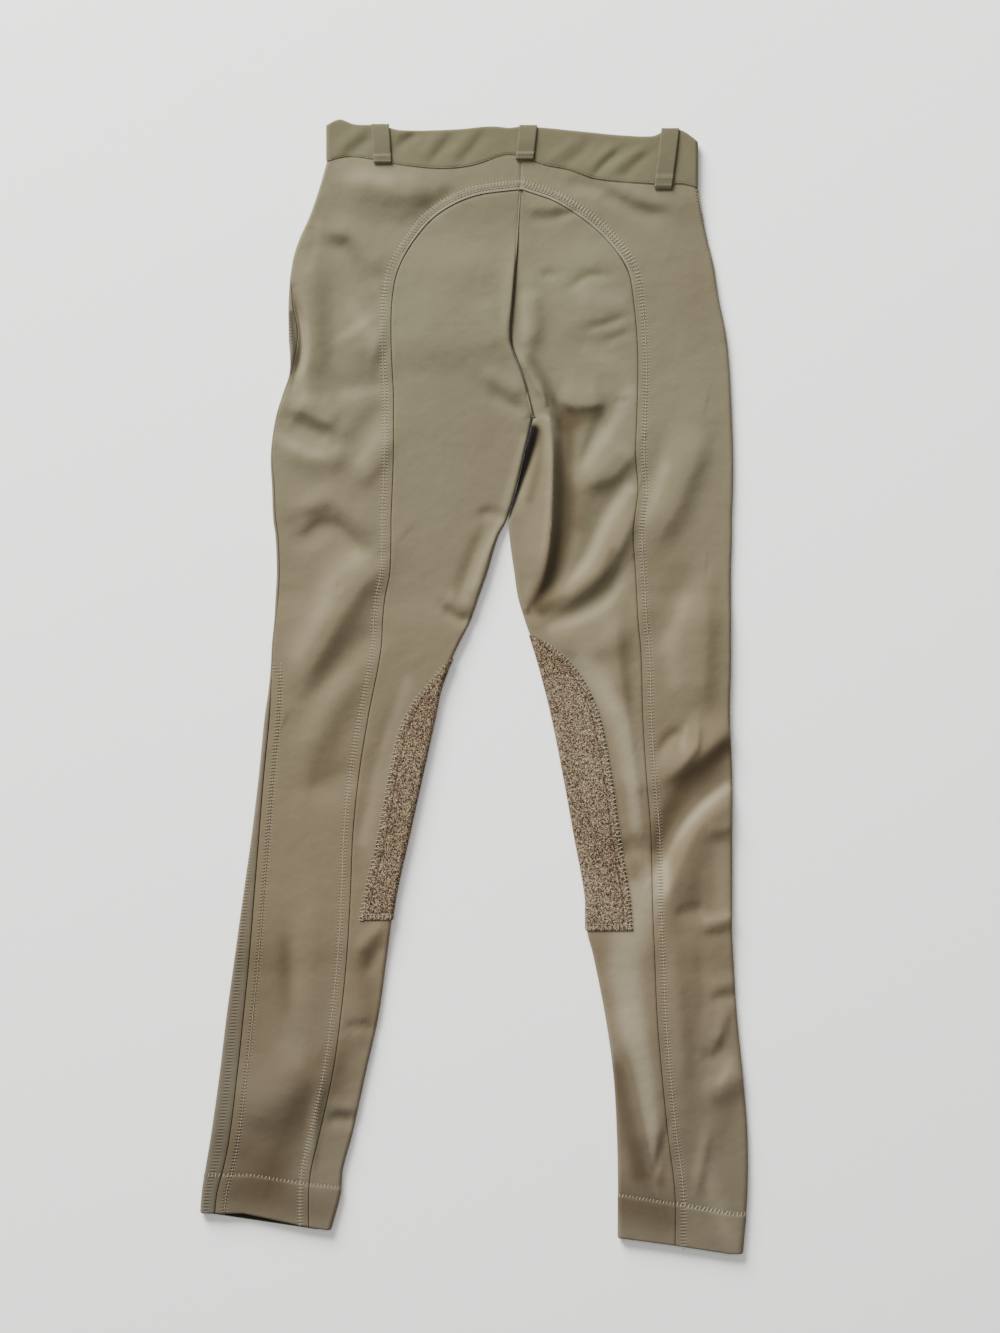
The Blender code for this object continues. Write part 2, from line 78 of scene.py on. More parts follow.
WAIST = (
    # x, seam, top
    (-122, 36, 4), (-112, 33, 0), (-100, 32, 4), (-80, 35, 5), (-60, 39, 9), (-30, 42, 9), (-10, 41, 8),
    (0, 39, 7), (10, 36, 6), (20, 32, 6), (30, 30, 7), (40, 32, 6), (60, 39, 7), (80, 43, 9), (100, 50, 11),
    (120, 53, 13), (150, 55, 14), (160, 56, 10), (174, 55, 9), (188, 58, 18))
CENTRE_BACK = (
    # down, x
    (28, 40), (60, 39), (100, 37), (150, 33), (185, 31), (200, 35), (220, 43), (CROTCH_DOWN, 50))
LEFT_SECTIONS = (
    # down, outer, side_seam, back_seam, inner
    (36, -123, -4, None, None), (60, -130, -3, None, None), (80, -137, -1, None, None),
    (100, -146, 0, None, None), (120, -152, 1, None, None), (150, -155, 5, None, None),
    (180, -155, 10, -69, None), (210, -154, 4, -68, None), (230, -160, 3, -67, None), (250, -166, 3, -67, 50),
    (280, -170, 3, -67, 43), (310, -169, 4, -68, 36), (335, -168, 4, -69, 28.5), (350, -166, 4, -69, 21),
    (380, -165, 4, -70, 12), (400, -166, 4, -74, 5), (420, -167, 3, -76, -2), (440, -169, 3, -77, -12),
    (460, -170, 3, -80, -21), (480, -172, 4, -84, -28), (500, -175, 6, -88, -32), (550, -180, 6, -96, -43),
    (600, -186, 8, -101, -54), (650, -193, 11, -103, -65), (700, -200, 14, -106, -72),
    (750, -207, 16, -111, -79), (800, -213, 17, -118, -90), (850, -220, 18, -129, -101),
    (880, -225, 17, -136, -109), (900, -228, 15, -138, -111), (930, -230, 14, -138, -119))
RIGHT_SECTIONS = (
    # down, outer, side_seam, back_seam, inner
    (58, 188, -6, None, None), (80, 192, -7, None, None), (100, 196, -8, None, None),
    (120, 201, -8, None, None), (150, 206, -9, None, None), (180, 212, -9, 137, None),
    (210, 215, -9, 138, None), (250, 217, -9, 137, 50), (280, 218, -9, 136, 43), (310, 218, -9, 138, 36),
    (335, 217, -9, 135, 29.5), (350, 217, -9, 134, 30), (380, 216, -8, 136, 34), (400, 216, -8, 137, 37),
    (420, 216, -8, 138, 43), (440, 216, -8, 140, 50), (460, 216, -8, 141, 56), (500, 215, -8, 142, 66),
    (550, 217, -8, 145, 76), (600, 217, -8, 149, 85), (650, 217, -8, 150, 94), (680, 217, -9, 151, 95),
    (700, 218, -9, 152, 100), (750, 221, -9, 154, 110), (800, 226, -10, 158, 117), (850, 230, -10, 163, 120),
    (900, 230, -11, 169, 121), (950, 226, -11, 169, 121))
LEFT_ARCH = ((40, 59), (0, 65), (-30, 80), (-50, 102), (-63, 126), (-68, 150))
RIGHT_ARCH = ((40, 59), (70, 70), (100, 90), (120, 111), (130, 128), (134, 150))
LEFT_HEM = {"outer": (885, 917), "inner": (895, 931)}
RIGHT_HEM = {"outer": (918, 951), "inner": (902, 938)}
LEFT_PATCH = (
    # down, back_reach, front_reach
    (452, 3, 4), (470, 11, 24), (490, 22, 48), (510, 28, 62), (540, 29, 74), (600, 27, 76), (671, 28, 70))
RIGHT_PATCH = (
    (432, 4, 4), (450, 24, 22), (470, 35, 42), (500, 41, 56), (550, 41, 62), (600, 39, 62), (640, 38, 60),
    (680, 40, 57))
LOOPS = (
    # name, x_top, x_seam
    ("left", -78, -76), ("centre", 46, 43), ("right", 165, 159))
FRONT_LOOPS = (("front_left", -60), ("front_right", 120))
LIFTS = ((-20, 62, 1.8), (425, 688, 1.6))       # from_down, to_down, lift
LIFT_RAMP = 30.0
LOFT = ((0, 5.4), (62, 5.4), (110, 5.5), (200, 5.6), (860, 5.6), (895, 6.4), (955, 6.4))
LEAST_LOFT = 2.7            # the back never sinks further than this towards the underside

# ---------------------------------------------------------------- creases

# name, points (x, down), width on the right hand, width on the left hand, height, sharpness, share it narrows by
LEFT_CREASES = (
    # hip
    ("waist puff", ((-108, 46), (-72, 58), (-32, 59)), 14, 15, 3.0),
    ("waist dimple", ((-14, 58), (-28, 68), (-42, 82)), 8, 8, -1.5),
    ("hip bow", ((-126, 92), (-104, 96), (-90, 112), (-76, 136)), 8, 13, 2.6),
    ("under the bow", ((-126, 106), (-108, 108), (-96, 122), (-82, 148)), 8, 8, -1.4),
    ("outer hip ridge", ((-141, 106), (-137, 145), (-136, 190), (-138, 234)), 12, 13, 3.2),
    ("outer hip trough", ((-118, 124), (-115, 175), (-117, 226)), 10, 12, -1.0),
    ("tuck", ((-151, 142), (-145, 170), (-144, 195), (-151, 222)), 3, 4, -3.5),
    ("hip crest", ((-106, 172), (-92, 188), (-72, 196)), 16, 24, 2.6),
    ("under the crest", ((-122, 222), (-95, 224), (-68, 220)), 12, 10, -1.2),
    ("low hip crest", ((-156, 240), (-136, 246), (-112, 260)), 6, 12, 2.4),
    ("low hip trough", ((-154, 252), (-138, 260), (-118, 268)), 9, 6, -1.6),
    ("top of thigh", ((-164, 270), (-140, 282), (-116, 284), (-96, 272)), 12, 9, 2.2),
    ("slant trough", ((-72, 234), (-92, 262), (-106, 290)), 10, 10, -1.4),
    ("slant crest", ((-68, 262), (-84, 292), (-104, 306)), 12, 8, 1.8),
    # thigh
    ("bow crest", ((-158, 324), (-138, 324), (-118, 320), (-100, 334), (-78, 354)), 8, 12, 2.4),
    ("bow trough", ((-154, 342), (-142, 350), (-128, 342), (-114, 343), (-100, 356), (-80, 368)), 10, 6, -2.4),
    ("long crest", ((-68, 360), (-100, 398), (-126, 440), (-150, 488)), 22, 13, 4.6),
    ("long trough", ((-72, 416), (-104, 450), (-138, 486)), 12, 12, -1.6),
    ("second crest", ((-96, 458), (-116, 488), (-132, 520), (-140, 544)), 14, 14, 2.6),
    ("knee trough", ((-144, 560), (-118, 556), (-92, 542)), 14, 12, -1.7),
    ("mark", ((-114, 389), (-112, 393), (-111, 397)), 1.5, 1.5, -0.6),
    # calf
    ("calf trough", ((-153, 668), (-155, 705), (-157, 752)), 8, 8, -0.9),
    ("calf crest", ((-136, 650), (-137, 708), (-139, 775)), 14, 12, 1.2),
    ("ankle crest", ((-124, 786), (-146, 806), (-172, 824), (-198, 842)), 32, 24, 4.8),
    ("ankle tongue", ((-127, 804), (-132, 840), (-136, 882)), 5, 4, 1.5),
    # seat and inner leg
    ("back seam roll", ((35, 106), (31, 152), (28, 186), (38, 206), (46, 245)), 9, 3, 1.8, 1.7),
    ("seat swell", ((-14, 96), (-16, 150), (-18, 218)), 46, 48, 3.0),
    ("by the seam", ((11, 148), (16, 172), (24, 194)), 14, 7, 1.4),
    ("crotch crest", ((4, 210), (26, 222), (44, 234)), 6, 9, 1.4),
    ("crotch trough", ((10, 225), (24, 236), (46, 246)), 6, 6, -1.4),
    ("thigh nick", ((2, 334), (15, 330), (30, 338)), 6, 5, -1.6),
    ("edge roll", ((22, 340), (8, 375), (-2, 408)), 7, 6, 2.0),
    ("beside the roll", ((10, 344), (-6, 382), (-14, 406)), 7, 6, -1.3),
    ("edge crest", ((2, 408), (-10, 406), (-25, 401)), 8, 5, 1.3),
    ("edge nick", ((0, 420), (-14, 418), (-27, 406)), 4, 5, -1.8),
    ("beside the patch", ((-57, 474), (-70, 522), (-85, 570), (-95, 626)), 11, 8, -1.7),
    ("below the patch", ((-72, 674), (-87, 686), (-97, 702)), 6, 6, 1.3),
    ("patch trough", ((-74, 688), (-83, 703), (-91, 720)), 6, 6, -1.3),
    ("calf nick", ((-109, 764), (-96, 760), (-80, 764)), 6, 5, -1.4),
    ("inner ankle crest", ((-121, 826), (-108, 828), (-96, 829)), 5, 7, 1.0),
    ("inner ankle nick", ((-124, 840), (-112, 838), (-99, 840)), 6, 5, -1.4))
RIGHT_CREASES = (
    # seat
    ("top nick", ((44, 82), (66, 82), (88, 77)), 4, 3.5, -1.1),
    ("above the nick", ((44, 75), (60, 75), (76, 73)), 4, 6, 0.8),
    ("seam puff", ((48, 138), (51, 168), (47, 195)), 9, 8, 2.2),
    ("fine nick", ((57, 132), (70, 129)), 4, 4, -0.8),
    ("curved nick", ((82, 141), (95, 132), (114, 131)), 4, 4, -1.0),
    ("third nick", ((92, 176), (110, 172), (130, 164)), 4, 4, -1.0),
    ("fourth nick", ((108, 187), (122, 182), (134, 177)), 4, 4, -0.7),
    ("seat swell", ((94, 96), (96, 142), (98, 194)), 30, 32, 2.2),
    ("crotch crest", ((35, 192), (47, 212), (58, 232), (64, 246)), 4, 6, 3.0, 1.6),
    ("valley", ((54, 198), (67, 224), (77, 256), (79, 302), (77, 343), (69, 381), (52, 407)), 6, 9, -3.6),
    ("seat fold", ((68, 234), (90, 240), (114, 236)), 5, 17, 2.6),
    ("beside the valley", ((112, 239), (101, 268), (88, 298)), 6, 9, -1.6),
    # thigh
    ("crotch ridge", ((62, 244), (66, 276), (66, 318), (64, 352), (59, 384), (49, 404)), 15, 4, 7.0, 1.6),
    ("hollow", ((55, 262), (46, 288), (35, 322)), 6, 6, -3.0),
    ("first crest", ((137, 274), (115, 298), (89, 306)), 16, 8, 3.0),
    ("first trough", ((133, 296), (110, 328), (94, 364), (73, 397)), 9, 9, -1.6),
    ("second crest", ((137, 317), (124, 354), (106, 382), (80, 401), (57, 409)), 13, 7, 3.4),
    ("second trough", ((137, 367), (114, 394), (89, 412), (57, 426)), 6, 8, -1.4),
    ("third crest", ((136, 420), (112, 440), (84, 441), (60, 430)), 15, 12, 2.0),
    ("by the back seam", ((116, 410), (121, 452), (124, 492)), 10, 8, 1.6),
    ("knee crest", ((118, 444), (128, 505), (137, 570), (141, 612)), 12, 6, 2.2),
    ("knee end", ((118, 620), (134, 612), (150, 614)), 6, 10, -1.4),
    # outer side
    ("waist trough", ((75, 54), (98, 57), (110, 64)), 7, 7, -1.1),
    ("waist crest", ((108, 48), (138, 66), (166, 74)), 7, 8, 1.0),
    ("hip trough", ((102, 56), (125, 70), (144, 78), (165, 80)), 8, 6, -1.4),
    ("long crest", ((192, 252), (181, 294), (162, 336), (142, 358)), 20, 12, 3.6),
    ("beside the crest", ((165, 257), (153, 292), (141, 320)), 8, 8, -1.0),
    ("long trough", ((193, 365), (175, 398), (158, 430), (144, 448)), 16, 11, -1.7),
    ("outer crest", ((195, 390), (193, 444), (190, 502)), 22, 11, 3.0),
    ("knee nick", ((154, 538), (162, 521), (178, 510)), 5, 5, -1.5),
    ("knee pip", ((187, 501), (187, 523), (173, 543)), 6, 4, 1.7),
    ("back of knee", ((222, 506), (196, 527), (172, 543), (151, 556)), 16, 9, 4.2),
    ("back of knee trough", ((222, 546), (197, 566), (180, 585), (163, 611), (151, 632)), 14, 6, -2.4),
    ("calf slant", ((223, 568), (195, 588), (181, 609), (169, 640), (161, 664)), 8, 17, 3.4),
    ("calf pip", ((194, 598), (206, 596), (220, 592)), 4, 6, 1.0),
    ("calf nick", ((168, 672), (182, 662), (196, 664)), 7, 5, -1.4),
    ("calf wedge", ((190, 676), (204, 674), (222, 668)), 5, 8, 1.9),
    ("edge crest", ((197, 728), (208, 726), (224, 722)), 4, 6, 0.9),
    ("edge nick", ((197, 741), (209, 737), (226, 734)), 4, 4, -1.1),
    ("edge pip", ((213, 744), (208, 762), (202, 778)), 6, 4, 1.4),
    ("edge trough", ((189, 782), (202, 786), (214, 773)), 6, 6, -1.3),
    ("ankle crest", ((191, 816), (206, 812), (226, 796)), 12, 10, 2.6),
    ("shin crest", ((165, 680), (172, 748), (178, 826)), 8, 9, 1.8),
    ("shin trough", ((190, 692), (193, 730), (191, 768)), 6, 7, -0.8),
    ("hem tongue", ((198, 844), (192, 872), (186, 902)), 5, 5, 1.3),
    # calf
    ("plane edge", ((108, 742), (123, 786), (134, 824), (143, 862), (150, 888)), 13, 27, 4.8),
    ("tongue side", ((164, 838), (157, 866), (150, 890)), 4, 4, -1.0))
BAND_CREASES = (
    ("pleat", ((-88, 5), (-104, 18), (-119, 33)), 6, 6, 1.3),
    ("pleat trough", ((-82, 13), (-96, 23), (-108, 34)), 5, 5, -1.3),
    ("loop pleat", ((-66, 13), (-59, 11), (-52, 8)), 4, 4, 1.2),
    ("loop trough", ((-67, 27), (-56, 18), (-43, 10)), 5, 4, -1.5),
    ("second", ((-24, 8), (-35, 21), (-45, 34)), 5, 6, 1.1),
    ("second trough", ((-15, 10), (-25, 23), (-36, 37)), 4, 5, -1.2),
    ("third", ((3, 7), (-9, 21), (-20, 35)), 5, 6, 1.1),
    ("third trough", ((11, 9), (0, 23), (-13, 39)), 4, 5, -1.2),
    ("fourth", ((88, 15), (73, 28), (60, 38)), 5, 6, 1.1),
    ("fourth trough", ((103, 15), (88, 30), (74, 41)), 5, 5, -1.2),
    ("fifth", ((121, 19), (105, 33), (91, 46)), 4, 6, 1.2),
    ("fifth trough", ((126, 24), (111, 36), (99, 50)), 3, 4, -1.5),
    ("sixth", ((146, 22), (126, 35), (109, 50)), 4, 5, 1.3),
    ("sixth trough", ((152, 26), (134, 40), (122, 53)), 4, 5, -1.1))
# Shallow hollows of the front, which lies on the surface between them.
UNDER_CREASES = (
    ("left lap", ((-120, 230), (-60, 262), (10, 268)), 9, 12, 1.4),
    ("right lap", ((190, 225), (130, 262), (72, 270)), 12, 9, 1.5),
    ("left thigh", ((-140, 360), (-90, 402), (-60, 450)), 11, 11, 1.2),
    ("right thigh", ((180, 340), (140, 396), (100, 430)), 11, 11, 1.3),
    ("left shin", ((-165, 700), (-150, 760), (-150, 820)), 10, 10, 1.1),
    ("right shin", ((190, 720), (170, 780), (165, 850)), 10, 10, 1.1),
    ("left hip", ((-110, 90), (-80, 130), (-74, 180)), 10, 12, 1.2),
    ("right hip", ((170, 90), (140, 130), (136, 190)), 12, 10, 1.2))
# Painted shadow, near black, in the deepest folds, the hip tuck and along the centre back: 1 is the darkest.
CENTRE_BACK_SHADOW = ("centre back", ((39, 62), (37, 100), (33, 150), (31, 184), (42, 218), (50, 248)), 0.9, 0.9, 0.8)
LEFT_HOLLOW_SHADOWS = (
    CENTRE_BACK_SHADOW,
    ("hip tuck", ((-153, 162), (-151, 180), (-150, 196), (-154, 212)), 3, 3, 0.6, 3.0))
RIGHT_HOLLOW_SHADOWS = (
    CENTRE_BACK_SHADOW,
    ("crotch", ((50, 261), (47, 275), (43, 289), (38, 304), (34, 318), (29, 334)), 7, 7, 1.1, 2.0, 0.7))
# Painted light (+) and painted shade (-) of the folds' lit and shaded faces, in part the brushed face's own tone.
LEFT_NAP_AND_PAINTED_LIGHT = (
    ("waist plane", ((-106, 47), (-74, 52)), 10, 10, 0.45),
    ("beside the arch", ((-20, 60), (-40, 69), (-60, 86)), 8, 7, -0.5),
    ("outer hip light", ((-129, 88), (-131, 105), (-137, 126)), 5, 5, 0.35),
    ("under the bow", ((-118, 100), (-103, 112), (-92, 132), (-82, 156)), 7, 6, -0.35),
    ("hip strip", ((-142, 172), (-142, 235)), 6, 6, 0.35),
    ("hip shade", ((-127, 124), (-128, 165), (-123, 195), (-118, 222)), 8, 8, -0.2),
    ("hip patch", ((-100, 158), (-86, 182)), 9, 9, 0.35),
    ("hip crest shade", ((-106, 206), (-82, 212)), 9, 8, -0.15),
    ("second patch", ((-110, 230), (-78, 226)), 9, 8, 0.35),
    ("low hip shade", ((-152, 250), (-136, 258), (-121, 267)), 6, 6, -0.25),
    ("top of thigh", ((-162, 266), (-142, 278), (-124, 284)), 7, 7, 0.4),
    ("slant shade", ((-82, 240), (-107, 270), (-115, 290)), 9, 9, -0.35),
    ("slant light", ((-75, 257), (-95, 285)), 7, 7, 0.3),
    ("thigh shade", ((-148, 312), (-108, 312)), 13, 13, -0.3),
    ("bow shade", ((-150, 337), (-140, 343), (-130, 333), (-115, 335), (-105, 347), (-90, 360)), 6, 6, -0.25),
    ("thigh patch", ((-98, 366), (-118, 382), (-128, 415), (-146, 448)), 13, 13, 0.4),
    ("long shade", ((-78, 382), (-100, 408), (-130, 448)), 9, 13, -0.35),
    ("knee shade", ((-90, 470), (-104, 500), (-120, 530), (-128, 548)), 14, 12, -0.4),
    ("knee strip", ((-55, 470), (-66, 500), (-78, 535), (-88, 580), (-93, 605)), 6, 6, 0.45),
    ("leg edge", ((43, 268), (33, 300), (24, 330), (12, 360), (0, 392)), 5, 5, 0.45),
    ("edge shade", ((8, 338), (-4, 370), (-14, 400)), 7, 6, -0.4),
    ("edge nick shade", ((-22, 412), (-3, 417)), 4, 4, -0.6),
    ("inner calf", ((-90, 700), (-90, 765), (-107, 778), (-115, 812)), 11, 11, -0.55),
    ("shin light", ((-138, 650), (-140, 720), (-150, 780)), 13, 13, 0.25),
    ("shin shade", ((-158, 690), (-156, 742)), 7, 7, -0.35),
    ("ankle shade", ((-134, 792), (-146, 822), (-155, 850), (-166, 876)), 12, 20, -0.55),
    ("low ankle shade", ((-190, 868), (-176, 885)), 18, 18, -0.4),
    ("hem shade", ((-200, 898), (-165, 905), (-125, 912)), 15, 15, -0.45),
    ("lower leg", ((-176, 720), (-186, 800), (-198, 890)), 60, 60, -0.5))
RIGHT_NAP_AND_PAINTED_LIGHT = (
    ("seam puff", ((42, 152), (43, 182)), 6, 6, 0.35),
    ("seat patch", ((92, 146), (122, 150)), 11, 11, 0.4),
    ("lower seat patch", ((98, 195), (124, 205)), 11, 11, 0.35),
    ("diagonal shade", ((48, 200), (58, 217), (68, 236), (78, 246)), 6, 7, -0.7),
    ("under the seat", ((77, 253), (106, 248)), 8, 9, -0.8),
    ("valley", ((78, 258), (79, 300), (76, 340), (67, 372), (54, 402)), 10, 12, -1.0),
    ("pocket face", ((57, 264), (54, 290), (47, 318)), 6, 6, -0.8),
    ("ridge face", ((64, 250), (64, 300), (61, 345), (54, 378), (44, 396)), 4, 4, 0.5),
    ("crotch fold", ((52, 250), (62, 249)), 4, 4, 0.4),
    ("first plane", ((131, 228), (114, 260), (98, 278), (88, 296)), 9, 9, 0.6),
    ("first shade", ((122, 284), (102, 308), (90, 340)), 8, 8, -0.5),
    ("second plane", ((130, 310), (115, 332), (97, 367), (80, 392)), 7, 7, 0.6),
    ("second shade", ((117, 362), (107, 382), (92, 392), (58, 412)), 6, 6, -0.8),
    ("third plane", ((128, 372), (116, 402), (94, 417), (66, 426)), 7, 7, 0.5),
    ("seam shade", ((128, 405), (129, 478)), 7, 7, -0.35),
    ("knee plane", ((94, 452), (108, 478), (124, 505), (133, 545), (134, 590)), 14, 13, 0.7),
    ("knee edge shade", ((121, 562), (126, 600), (134, 632)), 6, 7, -0.6),
    ("seam plane", ((144, 336), (154, 312), (162, 290)), 6, 8, 0.4),
    ("outer shade", ((182, 296), (176, 322)), 10, 10, -0.25),
    ("seam side shade", ((148, 376), (170, 376)), 12, 12, -0.3),
    ("lower seam shade", ((146, 416), (160, 414)), 8, 8, -0.45),
    ("lower thigh plane", ((176, 402), (166, 432), (168, 470)), 10, 10, 0.35),
    ("outer knee", ((200, 392), (200, 500)), 9, 9, -0.25),
    ("nick shade", ((160, 520), (170, 512)), 5, 5, -0.5),
    ("knee pip", ((178, 509), (175, 526)), 4, 4, 0.45),
    ("back of knee", ((212, 523), (198, 540), (176, 558), (158, 588), (153, 610)), 9, 12, -1.1),
    ("slant plane", ((212, 560), (190, 577), (174, 596), (161, 618), (158, 645)), 6, 6, 0.75),
    ("outer calf light", ((208, 612), (208, 655)), 9, 9, 0.4),
    ("calf shade", ((186, 636), (184, 664), (170, 678)), 8, 8, -0.5),
    ("wedge light", ((194, 671), (214, 667)), 4, 4, 0.4),
    ("wedge shade", ((196, 681), (214, 680)), 4, 4, -0.5),
    ("calf plane", ((144, 640), (128, 696), (131, 745), (142, 800), (149, 850), (152, 878)), 22, 22, 0.85, 2.4, 0.75),
    ("calf shade edge", ((120, 796), (129, 840), (140, 884)), 10, 11, -1.0),
    ("tongue shade", ((158, 856), (157, 890)), 5, 5, -0.7),
    ("shin shade", ((184, 705), (182, 800), (182, 890)), 10, 10, -0.35),
    ("ankle light", ((216, 788), (206, 808)), 6, 6, 0.4),
    ("ankle shade", ((216, 820), (206, 858)), 10, 10, -0.45),
    ("hem shade", ((118, 906), (158, 918)), 20, 20, -0.9),
    ("hem light", ((192, 880), (205, 912), (215, 940)), 10, 12, 0.35),
    ("hip shade", ((184, 90), (192, 182)), 24, 24, -0.3))


# ---------------------------------------------------------------- smooth lines and heights

def smooth(keys, at):
    """Values at `at` of the smooth curve through (place, value) keys."""
    places, values = np.array(keys, float).T
    before = np.maximum(np.arange(len(places)) - 1, 0)
    after = np.minimum(np.arange(len(places)) + 1, len(places) - 1)
    slopes = (values[after] - values[before]) / (places[after] - places[before])
    at = np.clip(np.asarray(at, float), places[0], places[-1])
    low = np.clip(np.searchsorted(places, at, side="right") - 1, 0, len(places) - 2)
    span = places[low + 1] - places[low]
    t = (at - places[low]) / span
    rise, lean_low, lean_high = values[low + 1] - values[low], slopes[low] * span, slopes[low + 1] * span
    return values[low] + t * (lean_low + t * (3 * rise - 2 * lean_low - lean_high
                                              + t * (lean_low + lean_high - 2 * rise)))


def column(table, place, value):
    return [(row[place], row[value]) for row in table if row[value] is not None]


def mix(a, b, share):
    return a + (b - a) * share


def ease(share):
    share = np.clip(share, 0.0, 1.0)
    return share * share * (3 - 2 * share)


def quarter_round(away, radius):
    """Drop of a rounded edge, 1 at the edge and 0 from `radius` inwards."""
    u = 1 - np.clip(away / radius, 0, 1)
    return 1 - np.sqrt(1 - u * u * 0.999)


class Path:
    """A smooth line on the flat through key points (x, down), measured along its run."""

    def __init__(self, keys, steps=12):
        keys = np.array(keys, float)
        runs = np.concatenate([[0], np.cumsum(np.hypot(*np.diff(keys, axis=0).T))])
        at = np.concatenate([np.linspace(a, b, steps, endpoint=False) for a, b in zip(runs, runs[1:])]
                            + [[runs[-1]]])
        self.points = np.stack([smooth(list(zip(runs, keys[:, 0])), at),
                                smooth(list(zip(runs, keys[:, 1])), at)], axis=1)
        self.runs = np.concatenate([[0], np.cumsum(np.hypot(*np.diff(self.points, axis=0).T))])

    def at(self, run):
        return np.stack([np.interp(run, self.runs, self.points[:, 0]),
                         np.interp(run, self.runs, self.points[:, 1])], axis=-1)

    def run_at_down(self, down):
        return np.interp(down, self.points[:, 1], self.runs)

    def beside(self, run, offset):
        run = np.asarray(run, float)
        along = self.at(run + 1.0) - self.at(run - 1.0)
        along /= np.maximum(np.hypot(along[..., 0], along[..., 1])[..., None], 1e-9)
        return self.at(run) + np.stack([along[..., 1], -along[..., 0]], axis=-1) * np.asarray(offset)[..., None]

    def nearest(self, x, down):
        """Distance to the line, the run at its nearest point, and which hand of it the place lies on."""
        start, step = self.points[:-1], np.diff(self.points, axis=0)
        length = (step ** 2).sum(1)
        apart_x, apart_down = x[:, None] - start[:, 0], down[:, None] - start[:, 1]
        share = np.clip((apart_x * step[:, 0] + apart_down * step[:, 1]) / length, 0, 1)
        apart_x, apart_down = apart_x - share * step[:, 0], apart_down - share * step[:, 1]
        away = np.hypot(apart_x, apart_down)
        pick, each = away.argmin(1), np.arange(len(x))
        hand = apart_down[each, pick] * step[pick, 0] - apart_x[each, pick] * step[pick, 1]
        return away[each, pick], self.runs[pick] + share[each, pick] * np.sqrt(length[pick]), np.sign(hand)


class Crease:
    def __init__(self, name, points, right_hand, left_hand, height, sharpness=2.0, narrows=0.0,
                 tapered=True):
        self.line, self.widths, self.height = Path(points, 5), (right_hand, left_hand), height
        self.sharpness, self.narrows, self.tapered = sharpness, narrows, tapered
        reach = 2.4 * max(self.widths)
        self.low, self.high = self.line.points.min(0) - reach, self.line.points.max(0) + reach

    def add_to(self, total, x, down):
        near = (x > self.low[0]) & (x < self.high[0]) & (down > self.low[1]) & (down < self.high[1])
        if not near.any():
            return
        away, run, hand = self.line.nearest(x[near], down[near])
        share = run / self.line.runs[-1]
        width = np.where(hand > 0, *self.widths) * (1 - self.narrows * share)
        fade = 0.25 + 0.75 * ease(np.minimum(share, 1 - share) / 0.28) if self.tapered else 1.0
        total[near] += self.height * fade * np.exp(-(away / width) ** self.sharpness)


def creases(table, tapered=True):
    return [Crease(*row, tapered=tapered) for row in table]


BACK_FOLDS = {"left": creases(LEFT_CREASES), "right": creases(RIGHT_CREASES)}
BAND_FOLDS, UNDER_FOLDS = creases(BAND_CREASES), creases(UNDER_CREASES)
PAINTED_FOLD_SHADOW = {"left": creases(LEFT_HOLLOW_SHADOWS, False), "right": creases(RIGHT_HOLLOW_SHADOWS, False)}
NAP_AND_PAINTED_LIGHT = {"left": creases(LEFT_NAP_AND_PAINTED_LIGHT, False), "right": creases(RIGHT_NAP_AND_PAINTED_LIGHT, False)}
FOLD_DEPTH = 1.3            # how much deeper every crease lies than its listed height


def folded(folds, x, down):
    """Sum of folds at places of any shape."""
    x, down = np.broadcast_arrays(np.asarray(x, float), np.asarray(down, float))
    total = np.zeros(x.size)
    for fold in folds:
        fold.add_to(total, x.ravel(), down.ravel())
    return total.reshape(x.shape)


def under(x, down):
    height = folded(UNDER_FOLDS, x, down)
    for start, end, lift in LIFTS:
        height = height + lift * ease((down - start) / LIFT_RAMP + 1) * ease((end - down) / LIFT_RAMP + 1)
    return height


def top(x, down, side):
    """Height of the outer face of the back; the waistband takes the folds of both sides."""
    x, down = np.broadcast_arrays(np.asarray(x, float), np.asarray(down, float))
    if side == "band":
        share = ease((x - 30.0) / 20.0)
        folds = folded(BACK_FOLDS["left"], x, down) * (1 - share) + folded(BACK_FOLDS["right"], x, down) * share
    else:
        folds = folded(BACK_FOLDS[side], x, down)
    folds = FOLD_DEPTH * folds + 0.65 * folded(BAND_FOLDS, x, down)
    spare = smooth(LOFT, down) - LEAST_LOFT + folds
    base = sum(lift * ease((down - a) / LIFT_RAMP + 1) * ease((b - down) / LIFT_RAMP + 1) for a, b, lift in LIFTS)
    return base + LEAST_LOFT + 0.5 * (spare + np.sqrt(spare * spare + 1.0))


def fold_half(edge_x, inward, down, side):
    return (top(edge_x + inward * 3.0, down, side) - under(edge_x + inward * 3.0, down)) / 2


def inset(half, reach):
    quarter = half * math.pi / 2
    run = np.abs(reach)
    return np.where(run < quarter, half * (1 - np.cos(np.minimum(run, quarter) / half)), half + run - quarter)


def edge_point(edge_x, inward, down, reach, side):
    """Points round a folded edge, `reach` of cloth above (+) or under (-) its middle."""
    edge_x, down, reach = np.broadcast_arrays(edge_x, down, np.asarray(reach, float))
    half = fold_half(edge_x, inward, down, side)
    x = edge_x + inward * inset(half, reach)
    sign = np.where(reach >= 0, 1.0, -1.0)
    turn = np.minimum(np.abs(reach) / half, math.pi / 2)
    rounded = under(edge_x + inward * 3.0, down) + half * (1 + sign * np.sin(turn))
    flat = np.where(reach >= 0, top(x, down, side), under(x, down))
    return x, down, np.where(np.abs(reach) >= half * math.pi / 2, flat, rounded)


# ---------------------------------------------------------------- the two legs

